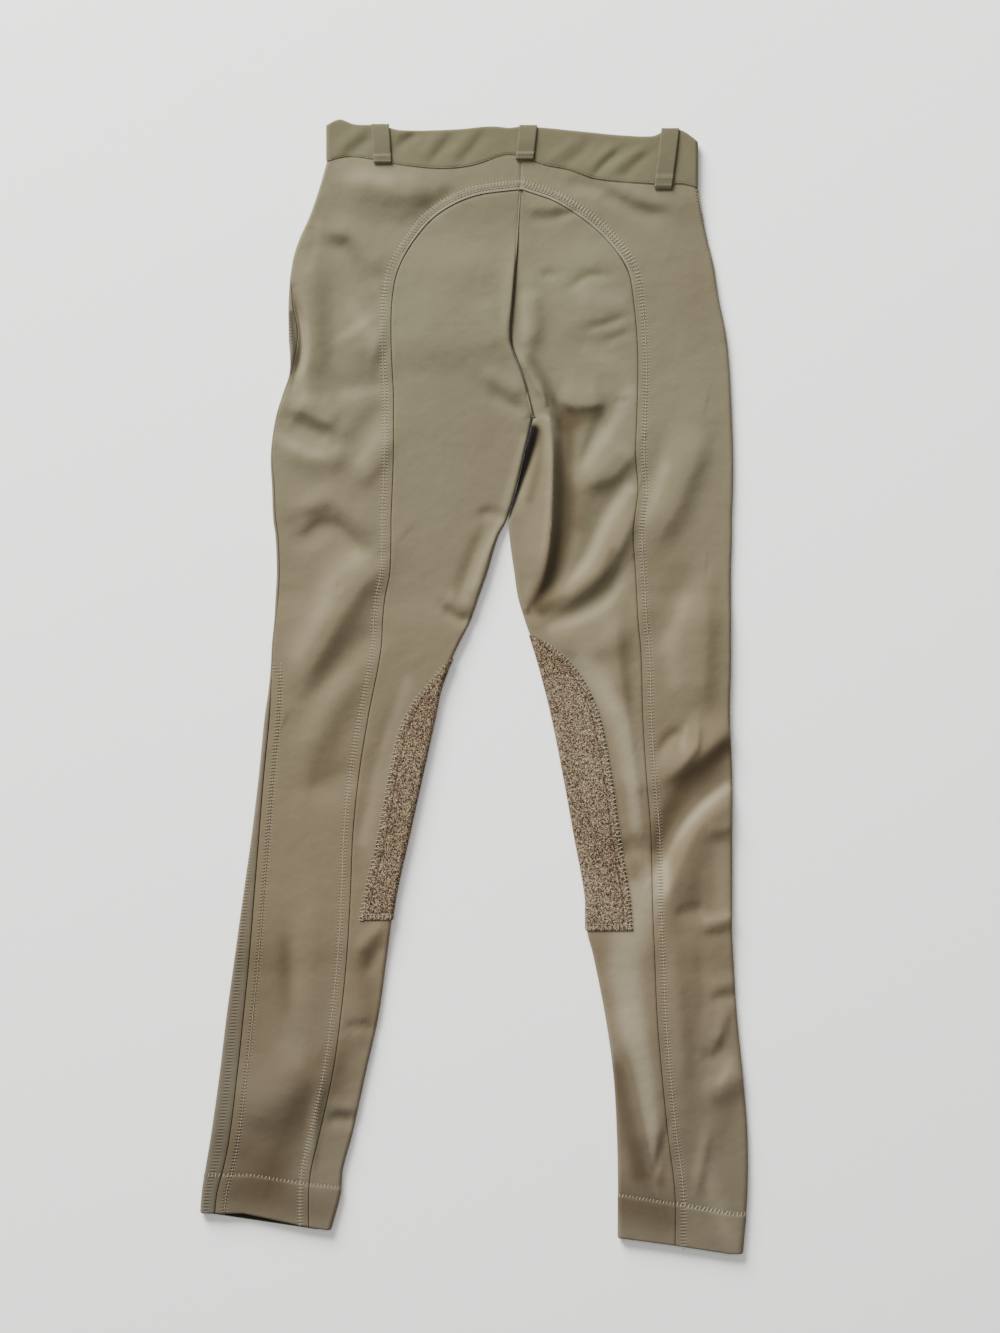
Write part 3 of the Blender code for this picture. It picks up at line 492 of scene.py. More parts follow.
BAR_FROM, BAR_TO, ARCH_INNER, SEAM_ROW = 0.6, 8.6, 3.4, 7.3      # places on a felled edge, from its seam
SEAM_COLUMNS = (0, 0.5, 1.1, 1.9, 3, 4.4, 5.6, 6.5, 7.2, 7.9, 8.8, 10.2, 12.5)
SIDE_SEAM_COLUMNS = (24, 21, 18.5, 16.5, 14.5, 12.8, 11.4, 10.2, 9.2, 8.4, 7.7, 7, 6, 5, 4, 3, 2, 1.2, 0.6, 0)
FLAT_CELLS, SEAT_CELLS, FRONT_CELLS, ROUND_CELLS = 38, 52, 34, 18


def felled(away, stitch_rows):
    """Relief of an edge folded over its neighbour: a raised bar, sunk along each row of stitches."""
    bar = 0.45 * ease(away / BAR_FROM) * (1 - ease((away - 6.6) / (BAR_TO - 6.6)))
    for place in stitch_rows:
        bar = bar - 0.3 * np.exp(-((away - place) / 0.9) ** 2)
    return bar


class Leg:
    def __init__(self, side, sections, arch, hem, patch):
        self.side, self.patch, self.hem = side, patch, hem
        self.outward = -1 if side == "left" else 1
        self.outer_keys, self.seam_keys = column(sections, 0, 1), column(sections, 0, 2)
        self.inner_keys = column(sections, 0, 4)
        below = [(row[3], row[0]) for row in sections if row[3] is not None and row[0] > arch[-1][1]]
        self.back_seam = Path(list(arch) + below)
        self.plan_rows()

    def outer(self, down):
        return smooth(self.outer_keys, down)

    def inner(self, down):
        return smooth(self.inner_keys, down) + self.outward * LEG_GAP / 2

    def plan_rows(self):
        """Each row's place down at the outer edge, at the back seam and at the inner boundary."""
        shoulder = float(self.back_seam.at(ARCH_RUN)[1])
        rows = []
        for row in range(CROTCH_ROW + 1):
            share, below = row / SHOULDER_ROW, (row - SHOULDER_ROW) / (CROTCH_ROW - SHOULDER_ROW)
            front = mix(31.0, CROTCH_DOWN, row / CROTCH_ROW)
            if row <= SHOULDER_ROW:
                rows.append((mix(self.outer_keys[0][0], SHOULDER_OUTER, share), shoulder, 58.0, front))
            else:
                rows.append((mix(SHOULDER_OUTER, CROTCH_OUTER, below), mix(shoulder, CROTCH_SEAM, below),
                             mix(58.0, CROTCH_DOWN, below), front))
        (stitch_outer, edge_outer), (stitch_inner, edge_inner) = self.hem["outer"], self.hem["inner"]
        patch_from, patch_to = self.patch[0][0], self.patch[-1][0]
        stitch, edge = self.with_seam(stitch_outer, stitch_inner), self.with_seam(edge_outer, edge_inner)
        stretches = (
            (THIGH_ROWS, (CROTCH_OUTER, CROTCH_SEAM, CROTCH_DOWN), (patch_from,) * 3),
            (KNEE_ROWS, (patch_from,) * 3, (patch_to,) * 3),
            (CALF_ROWS, (patch_to,) * 3, stitch),
            (HEM_ROWS, stitch, edge))
        for count, start, end in stretches:
            for step in range(1, count + 1):
                outer, seam, back = (mix(a, b, step / count) for a, b in zip(start, end))
                rows.append((outer, seam, back, back))
        self.rows = np.array(rows, float)
        self.patch_rows = (CROTCH_ROW + THIGH_ROWS, CROTCH_ROW + THIGH_ROWS + KNEE_ROWS)
        self.last = len(rows) - 1
        self.stitch_row = self.last - HEM_ROWS

    def with_seam(self, outer, inner):
        x = float(self.back_seam.at(self.back_seam.run_at_down((outer + inner) / 2))[0])
        share = (x - float(self.outer(outer))) / float(self.inner(inner) - self.outer(outer))
        return outer, mix(outer, inner, share), inner

    def place(self, name, t):
        return np.interp(t, np.arange(len(self.rows)), self.rows[:, ("outer", "seam", "back", "front").index(name)])

    def seam_place(self, t, gap_side):
        """Ends of rows at the back seam; above the arch they end at the centre back."""
        run = np.where(t <= SHOULDER_ROW, ARCH_RUN * np.clip(t - 1, 0, None) / ARCH_CELLS,
                       self.back_seam.run_at_down(self.place("seam", t)))
        place = self.back_seam.beside(run, np.full(t.shape, SEAM_GAP / 2 * gap_side * self.outward))
        waist = float(smooth(WAIST_SEAM, 40.0)) + SEAM_GAP / 2
        above = t <= 1
        place[above, 1] = mix(waist, 58.0 - SEAM_GAP / 2, t[above])
        place[above, 0] = smooth(CENTRE_BACK, place[above, 1]) + self.outward * SEAM_GAP / 2
        return place, run

    def waist_shift(self, t, x, line_at_waist):
        """How far the uppermost rows are moved to follow the waistband's seam."""
        shift = smooth(WAIST_SEAM, x) + SEAM_GAP / 2 - line_at_waist
        return shift * np.clip(1 - t, 0, 1)

    def row_places(self, t, start, reach, cells, seam_columns, side):
        """Flat stretches of rows from `start` to the column that lies `reach` round the outer edge."""
        down, inward = self.place("outer", t), -self.outward
        edge_x = self.outer(down)
        anchor = edge_x + inward * inset(fold_half(edge_x, inward, down, side), reach)
        length = np.hypot(anchor - start[:, 0], down - start[:, 1])
        shares = np.minimum(np.array(seam_columns)[None, :] / length[:, None], 0.4)
        spread = np.linspace(0, 1, cells + 1)[1:-1][None, :]
        last = shares[:, -1:]
        shares = np.concatenate([shares, last + (1 - last) * spread], axis=1)
        x = mix(start[:, :1], anchor[:, None], shares)
        line = mix(start[:, 1:], down[:, None], shares)
        at_waist = mix(start[0, 1], down[0], shares)
        return x, line + self.waist_shift(t[:, None], x, at_waist)

    def round_places(self, t, reaches):
        down = self.place("outer", t)[:, None]
        x, down, up = edge_point(self.outer(down), -self.outward, down, reaches, self.side)
        return x, down + self.waist_shift(t[:, None], x, self.place("outer", t[:1])[0]), up

    def fields(self, x, down, side_away, t):
        """What the cloth's finish needs at each place: distances from the seams and runs along them."""
        away, run, _ = self.back_seam.nearest(x.ravel(), down.ravel())
        hem = np.where(t < self.stitch_row, (t - self.stitch_row) * 27.0, (t - self.stitch_row) * 17.0)
        return {"back_seam": (away.reshape(x.shape), run.reshape(x.shape)), "side_seam": (side_away, down),
                "hem": (np.broadcast_to(hem, x.shape), x)}

    def centre_relief(self, x, down, seat):
        """Near the centre back: the left half rolls over the right one."""
        away = np.abs(x - smooth(CENTRE_BACK, down))
        strong = ease((down - 84.0) / 40.0) * ease((254.0 - down) / 10.0) if seat else 0.0
        groove = -0.45 * np.exp(-(away / 1.1) ** 2) * (down < 252)
        if self.side == "left":
            return groove * (1 - strong) + strong * (1.0 * np.exp(-(away / 6) ** 2) - 1.9 * quarter_round(away, 1.7))
        return groove - strong * 1.5 * np.exp(-(away / 1.7) ** 2)

    def hem_relief(self, hem, t):
        end = (self.last - t) * 17.0
        relief = 0.35 * ease(hem / 2.0 + 0.5) - 0.35 * np.exp(-(hem / 1.2) ** 2)
        return relief - 1.1 * quarter_round(end, 1.6)

    def side_grid(self, t):
        reaches = smooth(self.seam_keys, self.place("outer", t))[:, None] + SIDE_SEAM_GAP / 2
        reaches = reaches + np.array(SIDE_SEAM_COLUMNS)[None, :]
        start, _ = self.seam_place(t, 1)
        x, down = self.row_places(t, start, reaches[:, 0], FLAT_CELLS, SEAM_COLUMNS, self.side)
        round_x, round_down, round_up = self.round_places(t, reaches)
        up = np.concatenate([top(x, down, self.side), round_up], axis=1)
        side_away = np.concatenate([np.full(x.shape, 40.0), np.broadcast_to(SIDE_SEAM_COLUMNS, reaches.shape)], 1)
        x, down = np.concatenate([x, round_x], axis=1), np.concatenate([down, round_down], axis=1)
        if self.side == "left":
            side_away = side_away + 40.0 * (1 - ease((down - 425.0) / 45.0))
        fields = self.fields(x, down, side_away, t[:, None])
        away, run = fields["back_seam"]
        arch = ease((ARCH_RUN + 30 - run) / 20)
        relief = (0.5 + 0.5 * arch) * felled(away, (SEAM_ROW,)) - arch * 0.3 * np.exp(-((away - ARCH_INNER) / 0.9) ** 2)
        relief = relief + 0.8 * felled(side_away, (8.0,)) + self.hem_relief(fields["hem"][0], t[:, None])
        relief = relief + self.centre_relief(x, down, False) * (down < 60)
        return x, down, up, relief, fields

    def seat_grid(self, t, cells=SEAT_CELLS):
        start, _ = self.seam_place(np.maximum(t, SHOULDER_ROW + 1e-6), -1)
        down, below = self.place("back", t), t >= CROTCH_ROW
        half = fold_half(self.inner(down), self.outward, down, self.side)
        end_x = np.where(below, self.inner(down) + self.outward * inset(half, ROUND_TOP),
                         smooth(CENTRE_BACK, down) + self.outward * SEAM_GAP / 2)
        length = np.hypot(end_x - start[:, 0], down - start[:, 1])
        shares = np.minimum(np.array(SEAM_COLUMNS[:8])[None, :] / length[:, None], 0.4)
        ends = 1 - np.minimum(np.array((5.0, 3.4, 2.4, 1.6, 1.0, 0.5, 0.0))[None, :] / length[:, None], 0.3)
        spread = np.linspace(0, 1, cells + 1)[1:-1][None, :]
        middle = shares[:, -1:] + (ends[:, :1] - shares[:, -1:]) * spread
        shares = np.concatenate([shares, middle, ends], axis=1)
        x = mix(start[:, :1], end_x[:, None], shares)
        at = mix(start[:, 1:], down[:, None], shares)
        # the first rows bend from the arch down to the first straight row
        run = ARCH_RUN * (1 - shares)
        arch = self.back_seam.beside(run, np.full(run.shape, -SEAM_GAP / 2 * self.outward))
        bend = np.clip(1 - (t - SHOULDER_ROW), 0, 1)[:, None]
        x, at = mix(x, arch[..., 0], bend), mix(at, arch[..., 1], bend)
        up = top(x, at, self.side)
        reaches = self.inner_reaches(down)
        round_x, round_down, round_up = edge_point(self.inner(down)[:, None], self.outward, down[:, None],
                                                   reaches, self.side)
        x, at = np.concatenate([x, round_x], axis=1), np.concatenate([at, round_down], axis=1)
        up = np.concatenate([up, round_up], axis=1)
        fields = self.fields(x, at, np.full(x.shape, 40.0), t[:, None])
        away, run = fields["back_seam"]
        fields["back_seam"] = (-away, run)
        relief = -0.35 * np.exp(-(away / 0.9) ** 2) + self.hem_relief(fields["hem"][0], t[:, None])
        relief = relief + np.where(t[:, None] < CROTCH_ROW, self.centre_relief(x, at, True), 0)
        mask = np.ones(x.shape, bool)
        mask[~below, shares.shape[1]:] = False
        return x, at, up, relief, fields, mask

    def inseam_reach(self, down):
        return -mix(6.0, INSEAM_REACH, ease((down - CROTCH_DOWN) / 60))

    def inner_reaches(self, down):
        last = (self.inseam_reach(down) + SEAM_GAP / 2)[:, None]
        return ROUND_TOP + (last - ROUND_TOP) * np.linspace(0, 1, 15)[None, 1:]

    def front_grid(self, t):
        seam = smooth(self.seam_keys, self.place("outer", t))[:, None] - SIDE_SEAM_GAP / 2
        lowest = np.minimum(seam - 4.0, -6.0)
        reaches = lowest + (seam - lowest) * np.linspace(0, 1, ROUND_CELLS)[None, :]
        at = self.place("front", t)
        half = fold_half(self.inner(at), self.outward, at, self.side)
        inseam = self.inner(at) + self.outward * inset(half, self.inseam_reach(at) - SEAM_GAP / 2)
        x = np.where(t < CROTCH_ROW, smooth(CENTRE_BACK, at) + self.outward * SEAM_GAP / 2, inseam)
        start = np.stack([x, at], axis=1)
        x, down = self.row_places(t, start, reaches[:, 0], FRONT_CELLS, (0, 1.2, 3, 6), self.side)
        round_x, round_down, round_up = self.round_places(t, reaches)
        up = np.concatenate([under(x, down), round_up], axis=1)
        side_away = np.concatenate([np.full(x.shape, 40.0), np.broadcast_to(seam - reaches, reaches.shape)], 1)
        x, down = np.concatenate([x, round_x], axis=1), np.concatenate([down, round_down], axis=1)
        fields = self.fields(x, down, side_away, t[:, None])
        fields["back_seam"] = (np.full(x.shape, 40.0), fields["back_seam"][1])
        relief = -0.45 * np.exp(-(side_away / 1.0) ** 2) - 1.1 * quarter_round((self.last - t[:, None]) * 17.0, 1.6)
        return x, down, up, relief, fields

    def patch_grid(self, t):
        down = self.place("back", t)
        back = smooth(column(self.patch, 0, 1), down)[:, None]
        front = smooth(column(self.patch, 0, 2), down)[:, None]
        over = back * (1 - np.linspace(0, 1, 34)[None, :-1])
        reaches = np.concatenate([over, -front * np.linspace(0, 1, 40)[None, :]], axis=1)
        x, down, up = edge_point(self.inner(down)[:, None], self.outward, down[:, None], reaches, self.side)
        from_edge = np.minimum(np.minimum(back - reaches, reaches + front),
                               np.minimum(down - self.patch[0][0] + 3, self.patch[-1][0] - down))
        return x, down, up, reaches, from_edge


ROUND_TOP = 5.0             # reach of cloth above an inner edge at which the flat stretch ends
WAIST_SEAM, WAIST_TOP = column(WAIST, 0, 1), column(WAIST, 0, 2)
LEGS = (Leg("left", LEFT_SECTIONS, LEFT_ARCH, LEFT_HEM, LEFT_PATCH),
        Leg("right", RIGHT_SECTIONS, RIGHT_ARCH, RIGHT_HEM, RIGHT_PATCH))


def fine_rows(first, last, cells, extra=()):
    rows = np.linspace(first, last, int(round((last - first) * cells)) + 1)
    rows = np.unique(np.round(np.concatenate([rows, [row for row in extra if first < row < last]]), 4))
    return rows[np.concatenate([[True], np.diff(rows) > 0.012])]


# ---------------------------------------------------------------- from grids to cloth

def world(x, down, up):
    return np.stack(np.broadcast_arrays(x * MM, (HALF_LENGTH - down) * MM, up * MM), axis=-1)


def grid_normals(points, facing, flat_columns):
    """Normals of a grid of points, turned so that the flat columns look up (+1) or down (-1)."""
    along, across = np.gradient(points, axis=0), np.gradient(points, axis=1)
    normals = np.cross(across, along)
    normals /= np.maximum(np.linalg.norm(normals, axis=-1, keepdims=True), 1e-12)
    turned = np.sign(normals[:, flat_columns, 2].sum()) * facing
    return normals * turned, turned


def only(piece):
    bpy.ops.object.select_all(action="DESELECT")
    piece.select_set(True)
    bpy.context.view_layer.objects.active = piece


def grid_mesh(name, points, turned, mask=None, closed=False, values=None):
    """A mesh from a grid of points, with a value for each place kept as a named attribute."""
    rows, columns = points.shape[:2]
    index = np.arange(rows * columns).reshape(rows, columns)
    after = np.roll(index, -1, axis=1) if closed else index[:, 1:]
    here = index if closed else index[:, :-1]
    quads = np.stack([here[:-1], after[:-1], after[1:], here[1:]], axis=-1)
    if turned < 0:
        quads = quads[..., ::-1]
    if mask is not None:
        quads = quads[mask.ravel()[quads].all(-1)]
    quads = quads.reshape(-1, 4)
    used, quads = np.unique(quads, return_inverse=True)
    quads = quads.reshape(-1, 4)
    data = bpy.data.meshes.new(name)
    data.from_pydata(points.reshape(-1, 3)[used].tolist(), [], quads.tolist())
    for label, value in (values or {}).items():
        kept = data.attributes.new(label, "FLOAT_VECTOR", "POINT")
        vectors = np.stack([np.broadcast_to(part, (rows, columns)).ravel()[used] for part in value], axis=-1)
        kept.data.foreach_set("vector", vectors.astype(np.float32).ravel())
    data.update()
    piece = bpy.data.objects.new(name, data)
    bpy.context.scene.collection.objects.link(piece)
    return piece


def thicken(piece, thickness):
    only(piece)
    wall = piece.modifiers.new("wall", "SOLIDIFY")
    wall.thickness, wall.offset, wall.use_rim = thickness * MM, -1.0, True
    bpy.ops.object.modifier_apply(modifier="wall")
    bpy.ops.object.shade_smooth_by_angle(angle=math.radians(52))


def cloth_piece(name, grid, facing, flat_columns, thickness, outwards=0.0, mask=None, closed=False, side=None):
    """A sewn piece: its grid, raised by its relief and moved outwards, then given its thickness."""
    x, down, up, relief, fields = grid
    points = world(x, down, up)
    normals, turned = grid_normals(points, facing, flat_columns)
    points = points + normals * ((relief + outwards) * MM)[..., None]
    points[..., 2] = np.maximum(points[..., 2], 0.0)
    # painted shadow of the deepest folds, kept as an attribute for the finish
    dark = folded(PAINTED_FOLD_SHADOW[side], x, down) * (normals[..., 2] > 0) if side else 0 * x
    # painted light and shade of the folds, in part the brushed face's tone, kept as an attribute for the finish
    nap_and_painted_light = folded(NAP_AND_PAINTED_LIGHT[side], x, down) * (normals[..., 2] > -0.3) if side else 0 * x
    values = {"seams": (fields["back_seam"][0], fields["back_seam"][1], fields["side_seam"][0]),
              "edges": (fields["side_seam"][1], fields["hem"][0], dark), "nap_and_painted_light": (nap_and_painted_light, 0 * x, 0 * x)}
    piece = grid_mesh(name, points, turned, mask, closed, values)
    thicken(piece, thickness)
    return piece, points, normals


# ---------------------------------------------------------------- thread

def thread_stitch():
    """One stitch, lying along X: a short rounded grain of a few dozen faces."""
    bpy.ops.object.select_all(action="DESELECT")
    bpy.ops.mesh.primitive_uv_sphere_add(segments=6, ring_count=5, radius=0.5, rotation=(0, math.pi / 2, 0))
    stitch = bpy.context.object
    bpy.ops.object.transform_apply(location=True, rotation=True, scale=True)
    verts = np.array([v.co[:] for v in stitch.data.vertices])
    verts[:, 0] = np.sign(verts[:, 0]) * (0.5 * np.abs(2 * verts[:, 0]) ** 0.7)
    faces = [list(face.vertices) for face in stitch.data.polygons]
    bpy.data.objects.remove(stitch, do_unlink=True)
    return verts, faces


GRAIN, GRAIN_FACES = thread_stitch()


def sew(name, rows):
    """Joined stitches. Each row: points, normals, stitch size (length, width, height), pitch, turn."""
    verts, faces = [], []
    for points, normals, size, pitch, turn in rows:
        runs = np.concatenate([[0], np.cumsum(np.linalg.norm(np.diff(points, axis=0), axis=1))])
        at = np.arange(pitch / 2, runs[-1] / MM, pitch) * MM
        spots = np.stack([np.interp(at, runs, points[:, i]) for i in range(3)], axis=1)
        ahead = np.stack([np.interp(at + MM, runs, points[:, i]) - np.interp(at - MM, runs, points[:, i])
                          for i in range(3)], axis=1)
        up = np.stack([np.interp(at, runs, normals[:, i]) for i in range(3)], axis=1)
        up /= np.linalg.norm(up, axis=1, keepdims=True)
        ahead -= up * (ahead * up).sum(1, keepdims=True)
        ahead /= np.maximum(np.linalg.norm(ahead, axis=1, keepdims=True), 1e-9)
        across = np.cross(up, ahead)
        for i, spot in enumerate(spots):
            angle = math.radians(turn * (1 if i % 2 else 1.25) + 5 * math.sin(i * 2.3))
            axis = ahead[i] * math.cos(angle) + across[i] * math.sin(angle)
            frame_axes = np.stack([axis, np.cross(up[i], axis), up[i]])
            start = len(verts) * len(GRAIN)
            verts.append(GRAIN * np.array(size) * MM @ frame_axes + spot)
            faces += [[start + v for v in face] for face in GRAIN_FACES]
    data = bpy.data.meshes.new(name)
    verts = np.concatenate(verts)
    verts[:, 2] = np.maximum(verts[:, 2], 0.0)
    data.from_pydata(verts.tolist(), [], faces)
    piece = bpy.data.objects.new(name, data)
    bpy.context.scene.collection.objects.link(piece)
    only(piece)
    bpy.ops.object.mode_set(mode="EDIT")
    bpy.ops.mesh.select_all(action="SELECT")
    bpy.ops.mesh.normals_make_consistent(inside=False)
    bpy.ops.object.mode_set(mode="OBJECT")
    bpy.ops.object.shade_smooth()
    return piece


TOP_STITCH = (1.9, 0.75, 0.7)
BAR_STITCH = (4.6, 0.8, 0.6)
HEM_STITCH = (3.6, 0.8, 0.6)
LONG_HEM_STITCH = (5.6, 1.1, 0.8)


def row_on_side(leg, runs, offset):
    """Points of a stitch row beside the back seam, on the side panel."""
    place = leg.back_seam.beside(runs, np.full(runs.shape, offset * leg.outward))
    x, down = place[:, 0], place[:, 1]
    up = top(x, down, leg.side) + felled(np.full(x.shape, offset), (SEAM_ROW,)) + 0.12
    step = 1.0
    lean_x = (top(x + step, down, leg.side) - top(x - step, down, leg.side)) / 2
    lean_y = -(top(x, down + step, leg.side) - top(x, down - step, leg.side)) / 2
    normals = np.stack([-lean_x, -lean_y, np.ones(x.shape)], axis=1)
    return world(x, down, up), normals / np.linalg.norm(normals, axis=1, keepdims=True)


def nearest_row(points, normals, pick, lift=0.12):
    """A row or column of a piece's own grid, lifted a little off the cloth."""
    return points[pick] + normals[pick] * lift * MM, normals[pick]


# ---------------------------------------------------------------- finishes

DYE_DEPTH = 0.42             # share of light that the dyed cloth gives back, against the named shades


def linear(colour):
    shade = [((c / 255 + 0.055) / 1.055) ** 2.4 if c > 10 else c / 255 / 12.92 for c in colour]
    return tuple(DYE_DEPTH * c for c in shade) + (1.0,)


class Wire:
    """A socket that can be reckoned with."""

    def __init__(self, finish, socket):
        self.finish, self.socket = finish, socket

    def sum(self, operation, *values):
        return self.finish.node("ShaderNodeMath", {"operation": operation}, dict(enumerate(values)))

    def __add__(self, other): return self.sum("ADD", self, other)
    def __radd__(self, other): return self.sum("ADD", other, self)
    def __sub__(self, other): return self.sum("SUBTRACT", self, other)
    def __rsub__(self, other): return self.sum("SUBTRACT", other, self)
    def __mul__(self, other): return self.sum("MULTIPLY", self, other)
    def __rmul__(self, other): return self.sum("MULTIPLY", other, self)
    def __truediv__(self, other): return self.sum("DIVIDE", self, other)

    def sine(self): return self.sum("SINE", self)
    def ramp(self, low, high):
        """0 below `low`, 1 above `high`, smooth between."""
        return self.finish.node("ShaderNodeMapRange", {"interpolation_type": "SMOOTHSTEP"},
                                {"Value": self, "From Min": low, "From Max": high})

    def near(self, place, width):
        """1 at `place`, falling to 0 at `width` on both sides."""
        return 1 - self.sum("ABSOLUTE", self - place).ramp(0.0, width)


class Finish:
    def __init__(self, name, roughness, sheen=0.0):
        self.material = bpy.data.materials.new(name)
        self.material.use_nodes = True
        self.tree = self.material.node_tree
        self.shader = self.tree.nodes["Principled BSDF"]
        self.shader.inputs["Roughness"].default_value = roughness
        self.shader.inputs["Specular IOR Level"].default_value = 0.08
        self.shader.inputs["Sheen Weight"].default_value = sheen
        self.shader.inputs["Sheen Roughness"].default_value = 0.45

    def node(self, kind, settings=None, values=None, out=0):
        made = self.tree.nodes.new(kind)
        for name, value in (settings or {}).items():
            setattr(made, name, value)
        for name, value in (values or {}).items():
            self.feed(made.inputs[name], value)
        return Wire(self, made.outputs[out])

    def feed(self, socket, value):
        if isinstance(value, Wire):
            self.tree.links.new(value.socket, socket)
        else:
            socket.default_value = value

    def place(self):
        return self.node("ShaderNodeTexCoord", out="Object")

    def split(self, vector):
        parts = self.tree.nodes.new("ShaderNodeSeparateXYZ")
        self.feed(parts.inputs[0], vector)
        return [Wire(self, parts.outputs[i]) for i in range(3)]

    def attribute(self, name):
        return self.split(self.node("ShaderNodeAttribute", {"attribute_name": name}, out="Vector"))

    def noise(self, scale, detail=2.0, distortion=0.0):
        return self.node("ShaderNodeTexNoise", values={"Vector": self.place(), "Scale": scale, "Detail": detail,
                                                       "Distortion": distortion})

    def blend(self, factor, a, b, mode="MIX"):
        return self.node("ShaderNodeMix", {"data_type": "RGBA", "blend_type": mode}, {0: factor, 6: a, 7: b}, 2)

    def colour(self, wire):
        self.feed(self.shader.inputs["Base Color"], wire)

    def bump(self, height, distance):
        wire = self.node("ShaderNodeBump", values={"Strength": 1.0, "Distance": distance, "Height": height})
        self.feed(self.shader.inputs["Normal"], wire)


def stretch_cloth(name, upper, lower, seams_and_painted_light=True):
    """Matt stretch twill: two shades, a fine grain, puckers along the sewn edges, painted light and shade in the folds.
    """
    cloth = Finish(name, 0.82, 0.12)
    patches = cloth.noise(7.0, 2.0).ramp(0.35, 0.65)
    x, y, _ = cloth.split(cloth.place())
    hem_shade = linear([c * share for c, share in zip(lower, (0.94, 0.98, 1.02))])
    base = cloth.blend(y.ramp(-0.45, -0.15), hem_shade, linear(lower))
    base = cloth.blend(y.ramp(-0.25, 0.35), base, linear(upper))
    base = cloth.blend(patches * 0.3, base, linear([c * 0.93 for c in lower]))
    grain = cloth.noise(1500.0, 1.0)
    base = cloth.blend(grain.ramp(0.3, 0.7) * 0.14, base, linear([c * 0.72 for c in lower]))
    twill = ((x + y) * (2 * math.pi / 0.0009)).sine()
    weave = twill * 0.00003 + grain * 0.00006 + cloth.noise(60.0, 2.0) * 0.0007 + cloth.noise(22.0) * 0.0012
    if seams_and_painted_light:
        away, along, side_away = cloth.attribute("seams")
        side_along, hem, dark = cloth.attribute("edges")
        nap_and_painted_light = cloth.attribute("nap_and_painted_light")[0]
        # painted light (lighter) and painted shade (darker) on the folds' faces, in part the brushed face's tone
        base = cloth.blend(nap_and_painted_light.ramp(0.0, 1.2) * 0.8, base, linear((212, 200, 170)))
        base = cloth.blend((0.0 - nap_and_painted_light).ramp(0.0, 1.4) * 0.72, base, linear((80, 60, 34)))
        line = away.near(0.0, 0.7) * along.ramp(90.0, 130.0) * 0.7 + away.near(0.0, 0.6) * 0.2
        line = line + side_away.near(0.0, 0.8) * 0.7
        base = cloth.blend(line, base, linear((66, 50, 30)))
        # painted highlight: a light band beside the back seam round the seat's arch
        base = cloth.blend(away.near(1.5, 1.3) * (1 - along.ramp(95.0, 150.0)) * 0.30, base, linear((222, 215, 196)))
        # painted shadow, near black, in the deepest folds, the hip tuck and along the centre back
        base = cloth.blend(dark.ramp(0.15, 0.95) * 0.97, base, linear((6, 3, 0)))
        pucker = (along * (2 * math.pi / 2.7)).sine() * away.near(7.0, 4.5)
        pucker = pucker + (side_along * (2 * math.pi / 2.7)).sine() * side_away.near(7.5, 4.5)
        weave = weave + pucker * 0.0002
        # painted light on the puckers' crests beside the back seam
        base = cloth.blend(pucker.ramp(-1.0, 1.0) * away.near(7.0, 4.5) * 0.3, base, linear((186, 176, 154)))
    cloth.colour(base)
    cloth.bump(weave, 1.0)
    return cloth.material


def grip_cloth():
    """Silicone-printed grip: small winding light lines over dark pits."""
    grip = Finish("knee_grip", 0.7)
    winding = grip.node("ShaderNodeTexNoise", values={"Vector": grip.place(), "Scale": 900.0, "Detail": 1.0,
                                                      "Roughness": 0.6, "Distortion": 1.3})
    lines = winding.ramp(0.43, 0.57)
    tone = grip.noise(14.0).ramp(0.3, 0.7)
    light = grip.blend(tone, linear((204, 180, 148)), linear((220, 200, 170)))
    pits = grip.blend(tone, linear((70, 50, 30)), linear((86, 65, 42)))
    edge = grip.attribute("seams")[0]
    rows = edge.near(6.5, 1.1) * 0.55 + edge.near(0.0, 1.3) * 0.5
    grip.colour(grip.blend(rows, grip.blend(lines, pits, light), linear((62, 44, 26))))
    grip.bump(lines * 0.00035, 1.0)
    return grip.material


def thread_finish():
    thread = Finish("sewing_thread", 0.6, 0.2)
    tone = thread.noise(300.0).ramp(0.35, 0.65)
    thread.colour(thread.blend(tone, linear((178, 168, 142)), linear((206, 197, 172))))
    thread.bump(thread.noise(2500.0) * 0.0001, 1.0)
    return thread.material


# ---------------------------------------------------------------- making the garment

SEAT_CLOTH = stretch_cloth("seat_cloth", (155, 149, 120), (157, 140, 112))
SIDE_CLOTH = stretch_cloth("side_cloth", (156, 149, 120), (156, 140, 112))
FRONT_CLOTH = stretch_cloth("front_cloth", (148, 140, 117), (146, 134, 112))
BAND_FINISH = stretch_cloth("band_cloth", (138, 133, 104), (138, 131, 102), False)
LOOP_FINISH = stretch_cloth("loop_cloth", (134, 127, 101), (134, 126, 100), False)
# the hem turn-up's cloth is painted far darker than the rest: painted shade inside the leg's mouth
HEM_PAINTED_SHADE_FINISH = stretch_cloth("hem_cloth_painted_shade", (74, 67, 53), (70, 62, 48), False)
GRIP = grip_cloth()
THREAD = thread_finish()

# The flat cloth that each piece is cut from: its area in square metres.
TURN = 0.57                 # extra cloth that a rounded edge takes, for each unit of its half height


def strip_area(start, end, width):
    """Area in square metres of a strip that is width(down) wide from start to end."""
    down = np.linspace(start, end, 400)
    wide = np.maximum(width(down), 0.0)
    return float(((wide[1:] + wide[:-1]) / 2 * np.diff(down)).sum()) * MM * MM


